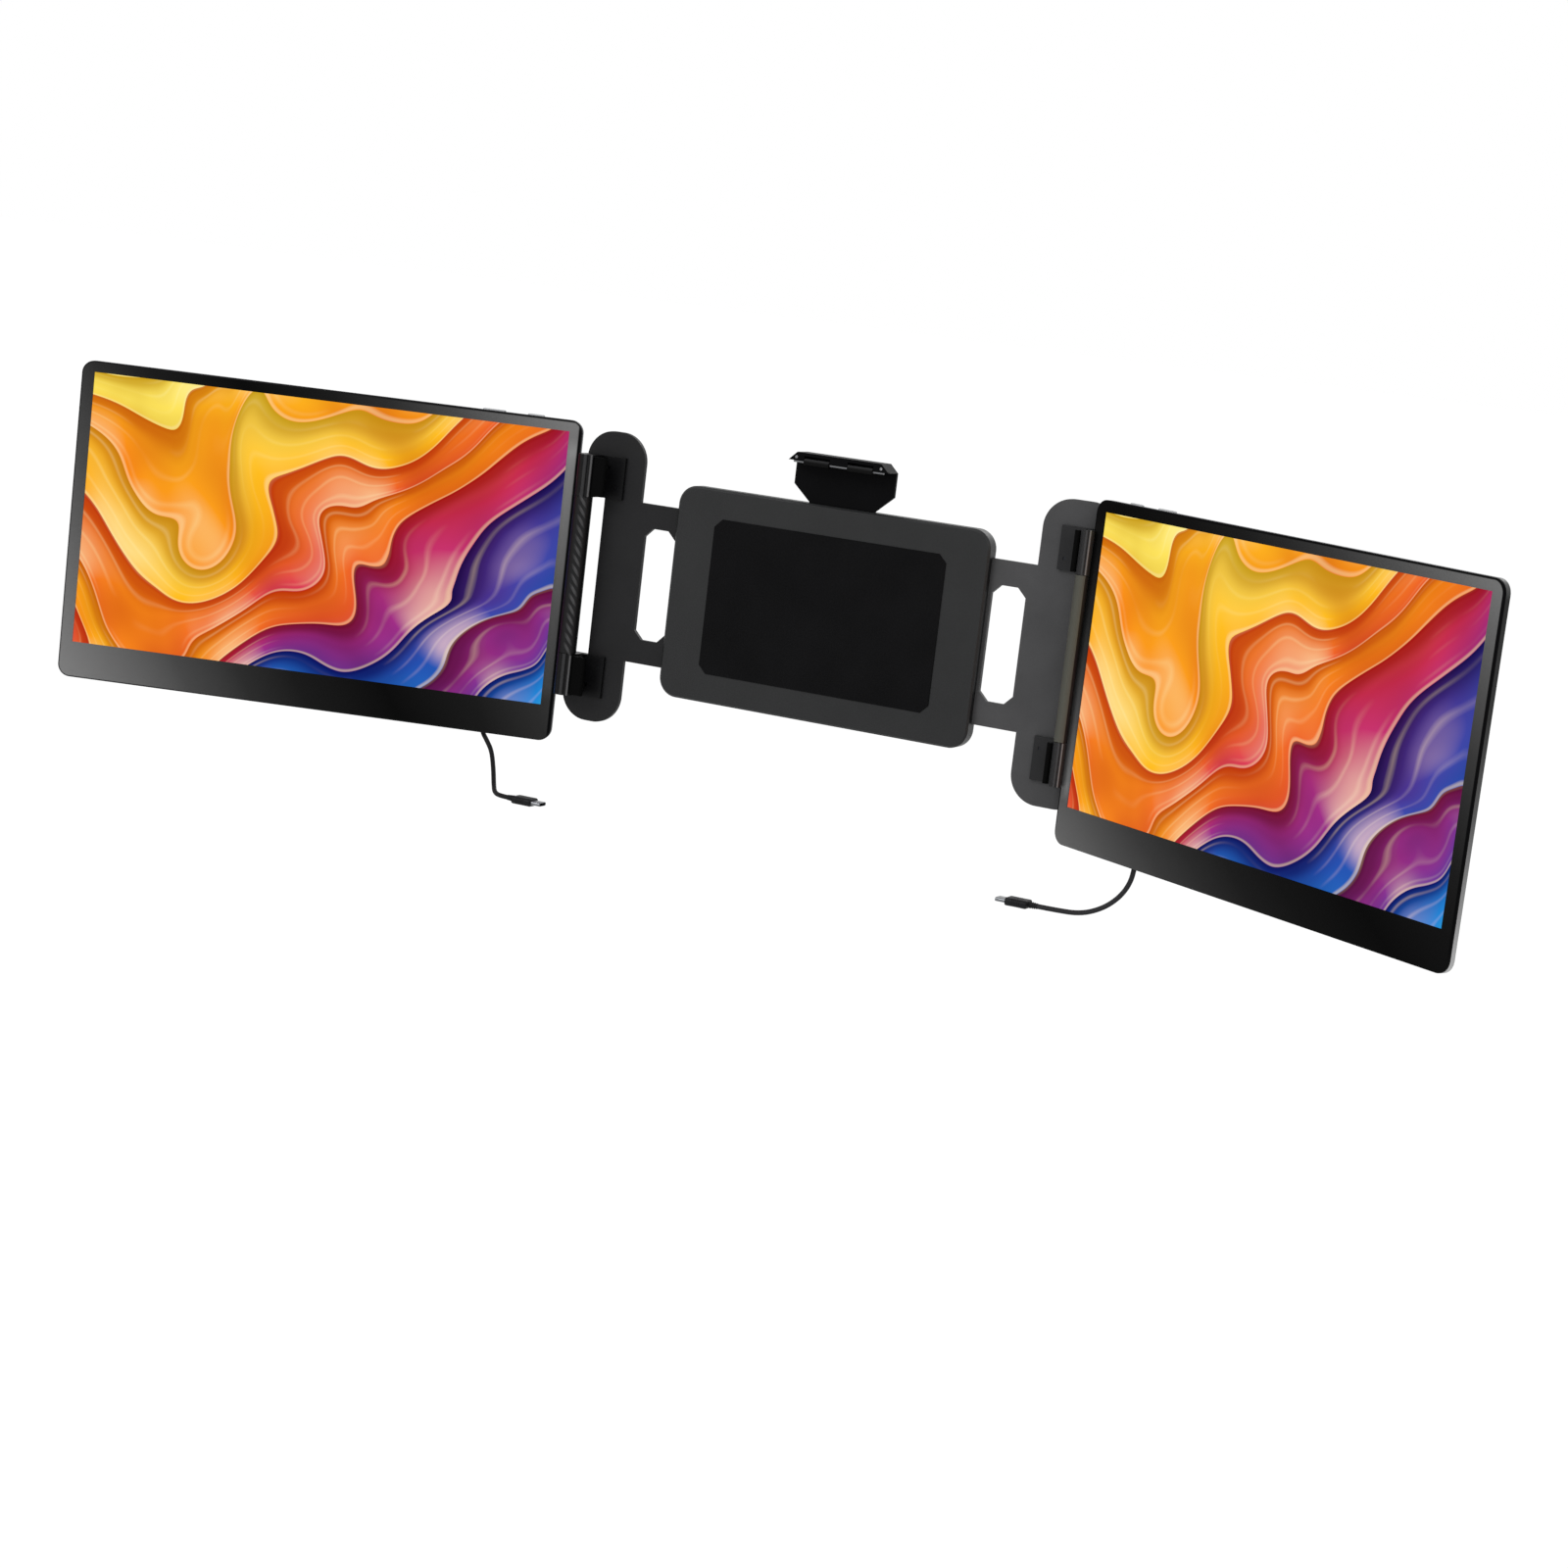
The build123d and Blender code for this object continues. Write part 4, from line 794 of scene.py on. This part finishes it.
# screws: a domed head with a cross in it and a shank, one at each spot
screwSizes = {
    "headRadius": 2.42 * mm, "headDepth": 1.05 * mm, "shankRadius": 1.2 * mm, "shankLength": 3.0 * mm,
    "crossLength": 2.7 * mm, "crossWidth": 0.5 * mm, "crossDepth": 0.55 * mm, "facing": (0.0, 1.0, 0.0), "seed": 4,
}
smallSizes = {
    "headRadius": 0.95 * mm, "headDepth": 0.45 * mm, "shankRadius": 0.5 * mm, "shankLength": 1.5 * mm,
    "crossLength": 1.0 * mm, "crossWidth": 0.22 * mm, "crossDepth": 0.2 * mm,
}
screwForm = {"headSides": 28, "headRings": 5, "shankSides": 16, "domePower": 4.0, "domeDrop": 0.16, "sunk": 0.95}
screwTones = {"screw": "#6c6d70", "armScrew": "#2f3032", "clipScrew": "#8b8c8e"}


def screwShape():
    sheet = ShapeSheet("screwShape", screwSizes)
    given = sheet.given
    half = sheet.math("MULTIPLY", given["headDepth"], 0.5)
    head = sheet.node(
        "GeometryNodeMeshCylinder",
        {"Vertices": screwForm["headSides"], "Side Segments": screwForm["headRings"], "Fill Segments": 1,
         "Radius": given["headRadius"], "Depth": given["headDepth"]},
    ).outputs["Mesh"]
    spot = sheet.node("ShaderNodeSeparateXYZ", {0: sheet.node("GeometryNodeInputPosition").outputs["Position"]}).outputs
    rise = sheet.math("DIVIDE", sheet.math("ADD", spot["Z"], half), given["headDepth"])
    drop = sheet.math("MULTIPLY", sheet.math("POWER", rise, screwForm["domePower"]), screwForm["domeDrop"])
    narrow = sheet.math("SUBTRACT", 1.0, drop)
    domed = sheet.point(
        sheet.math("MULTIPLY", spot["X"], narrow), sheet.math("MULTIPLY", spot["Y"], narrow),
        sheet.math("SUBTRACT", spot["Z"], half),
    )
    head = sheet.node("GeometryNodeSetPosition", {"Geometry": head, "Position": domed}).outputs["Geometry"]
    deep = sheet.math("MULTIPLY", given["crossDepth"], 2.0)
    bars = [
        sheet.node("GeometryNodeMeshCube", {"Size": sheet.point(x, y, deep)}).outputs["Mesh"]
        for x, y in ((given["crossLength"], given["crossWidth"]), (given["crossWidth"], given["crossLength"]))
    ]
    cut = sheet.node(
        "GeometryNodeMeshBoolean", {"Mesh 1": head, "Mesh 2": bars}, operation="DIFFERENCE"
    ).outputs["Mesh"]
    shank = sheet.node(
        "GeometryNodeMeshCylinder",
        {"Vertices": screwForm["shankSides"], "Radius": given["shankRadius"], "Depth": given["shankLength"]},
    ).outputs["Mesh"]
    under = sheet.math("MULTIPLY", given["headDepth"], -screwForm["sunk"])
    down = sheet.math("MULTIPLY_ADD", given["shankLength"], -0.5, under)
    screw = sheet.join(cut, sheet.shift(shank, sheet.point(z=down)))
    facing = sheet.node("FunctionNodeAlignRotationToVector", {"Vector": given["facing"]}, axis="Z").outputs["Rotation"]
    spin = sheet.node(
        "FunctionNodeRandomValue", {2: 0.0, 3: math.pi / 2, "Seed": given["seed"]}, data_type="FLOAT"
    ).outputs[1]
    turned = sheet.node("FunctionNodeEulerToRotation", {"Euler": sheet.point(z=spin)}).outputs["Rotation"]
    facing = sheet.node(
        "FunctionNodeRotateRotation", {"Rotation": facing, "Rotate By": turned}, rotation_space="LOCAL"
    ).outputs["Rotation"]
    spots = sheet.node("GeometryNodeMeshToPoints", {"Mesh": given["spots"]}).outputs["Points"]
    placed = sheet.node(
        "GeometryNodeInstanceOnPoints", {"Points": spots, "Instance": screw, "Rotation": facing}
    ).outputs["Instances"]
    return sheet.finishWith(placed)


screwTree = screwShape()
screwSteel = brushedFinish("screw", screwTones["screw"], 0.38, (20, 20, 20)).material
clipScrewSteel = brushedFinish("clipScrew", screwTones["clipScrew"], 0.3, (20, 20, 20)).material
armScrewSteel = brushedFinish("armScrew", screwTones["armScrew"], 0.38, (20, 20, 20)).material


def setScrews(name, body, spots, facing, material, nodes=(), **sizes):
    spots = [tuple(Vector(place) * mm) for place in spots]
    screws = growShape(name, screwTree, spots, [], {**screwSizes, "facing": tuple(facing), **sizes}, material)
    return seat(screws, body, "screw", *nodes)


# where the screws are, in mm: the face that carries their heads, their places on it, their shanks
screwSets = {
    "housing": {
        "face": 11.35, "spots": [(-96, -59), (-96, 59), (96, -59), (96, 59), (-52, 59), (52, 59)], "shank": 6.9,
    },
    "arm": {"face": 8.9, "spots": [(150.8, -56.6), (150.8, 56.6), (158.3, -68.6), (158.3, 68.6)], "shank": 3.6},
    "leaf": {"face": 7.8, "spots": [(9, -32), (9, 32), (20, -32), (20, 32)], "shank": 1.5},
    "clip": {"face": -9.0, "spots": [(4.5 - 28.2, 93.3), (4.5 + 28.2, 93.3)]},
}
at = screwSets["housing"]
setScrews(
    "housing_screw_set", "bracket", [(x, at["face"], z) for x, z in at["spots"]], (0, 1, 0), screwSteel,
    ["housing_screws"], shankLength=at["shank"] * mm,
)
for side, s in screenSides.items():
    hinge, outward, toViewer = screenAxes(side)
    at = screwSets["arm"]
    setScrews(
        side + "_arm_screw_set", side + "_arm", [(s["sign"] * x, at["face"], z) for x, z in at["spots"]], (0, 1, 0),
        armScrewSteel, [side + "_arm_screws"], shankLength=at["shank"] * mm,
    )
    at = screwSets["leaf"]
    spots = [onScreen(side, s["edge"] + u, s["drop"] + at["face"], z) / mm for u, z in at["spots"]]
    setScrews(
        side + "_leaf_screw_set", side + "_screen", spots, -toViewer, screwSteel, [side + "_screen_screws"],
        shankLength=at["shank"] * mm,
    )
at = screwSets["clip"]
spots = [(x, at["face"], z) for x, z in at["spots"]]
setScrews("clip_end_screws", "top_clip", spots, (0, -1, 0), clipScrewSteel, **smallSizes)
print("bracket dressed and screws set")

# floor, world and lamps
studioSetup = {
    "floorZ": -0.42, "floorHalf": 30.0, "floorTone": (0.9, 0.9, 0.9, 1), "floorGlow": 1.06, "floorShare": 0.92,
    "worldSeen": 1.0, "worldLight": 0.55,
}
white = (1, 1, 1, 1)


# how far a ray counts as seeing the background: camera, glossy and transmission rays do
def seenShare(sheet, share=1.0):
    path = sheet.node("ShaderNodeLightPath").outputs
    seen = sheet.math("ADD", path["Is Camera Ray"], path["Is Glossy Ray"])
    seen = sheet.math("ADD", seen, path["Is Transmission Ray"])
    return sheet.math("MULTIPLY", seen, share, clamp=True)


half, level = studioSetup["floorHalf"], studioSetup["floorZ"]
floorMesh = bpy.data.meshes.new("floor")
floorMesh.from_pydata(
    [(-half, -half, level), (half, -half, level), (half, half, level), (-half, half, level)], [], [(0, 1, 2, 3)],
)
floor = bpy.data.objects.new("floor", floorMesh)
scene.collection.objects.link(floor)
floorMaterial = bpy.data.materials.new("paleFloor")
floorMaterial.use_nodes = True
floorMaterial.node_tree.nodes.clear()
sheet = NodeSheet(floorMaterial.node_tree)
lit = sheet.node("ShaderNodeBsdfDiffuse", {"Color": studioSetup["floorTone"]}).outputs["BSDF"]
plain = sheet.node("ShaderNodeEmission", {"Color": white, "Strength": studioSetup["floorGlow"]}).outputs["Emission"]
share = seenShare(sheet, studioSetup["floorShare"])
mixed = sheet.node("ShaderNodeMixShader", {0: share, 1: lit, 2: plain}).outputs["Shader"]
sheet.node("ShaderNodeOutputMaterial", {"Surface": mixed})
floorMesh.materials.append(floorMaterial)

world = bpy.data.worlds.new("studio")
scene.world = world
world.use_nodes = True
world.node_tree.nodes.clear()
sheet = NodeSheet(world.node_tree)
seen = sheet.node("ShaderNodeBackground", {"Color": white, "Strength": studioSetup["worldSeen"]}).outputs["Background"]
soft = sheet.node("ShaderNodeBackground", {"Color": white, "Strength": studioSetup["worldLight"]}).outputs["Background"]
mixed = sheet.node("ShaderNodeMixShader", {0: seenShare(sheet), 1: soft, 2: seen}).outputs["Shader"]
sheet.node("ShaderNodeOutputWorld", {"Surface": mixed})

# lamps: places in metres, sizes and watts; all look at the origin
lampSetup = {
    "key": {"place": (-0.9, -1.7, 1.5), "size": 1.2, "power": 26},
    "fill": {"place": (1.6, -1.4, 0.7), "size": 1.4, "power": 12},
    "rim": {"place": (0.3, 1.6, 1.6), "size": 1.4, "power": 22},
}
for name, setup in lampSetup.items():
    lampData = bpy.data.lights.new(name, "AREA")
    lampData.size = setup["size"]
    lampData.energy = setup["power"]
    lamp = bpy.data.objects.new(name, lampData)
    scene.collection.objects.link(lamp)
    lamp.location = setup["place"]
    lamp.rotation_euler = (Vector((0, 0, 0)) - Vector(setup["place"])).to_track_quat("-Z", "Y").to_euler()
print("studio lit")
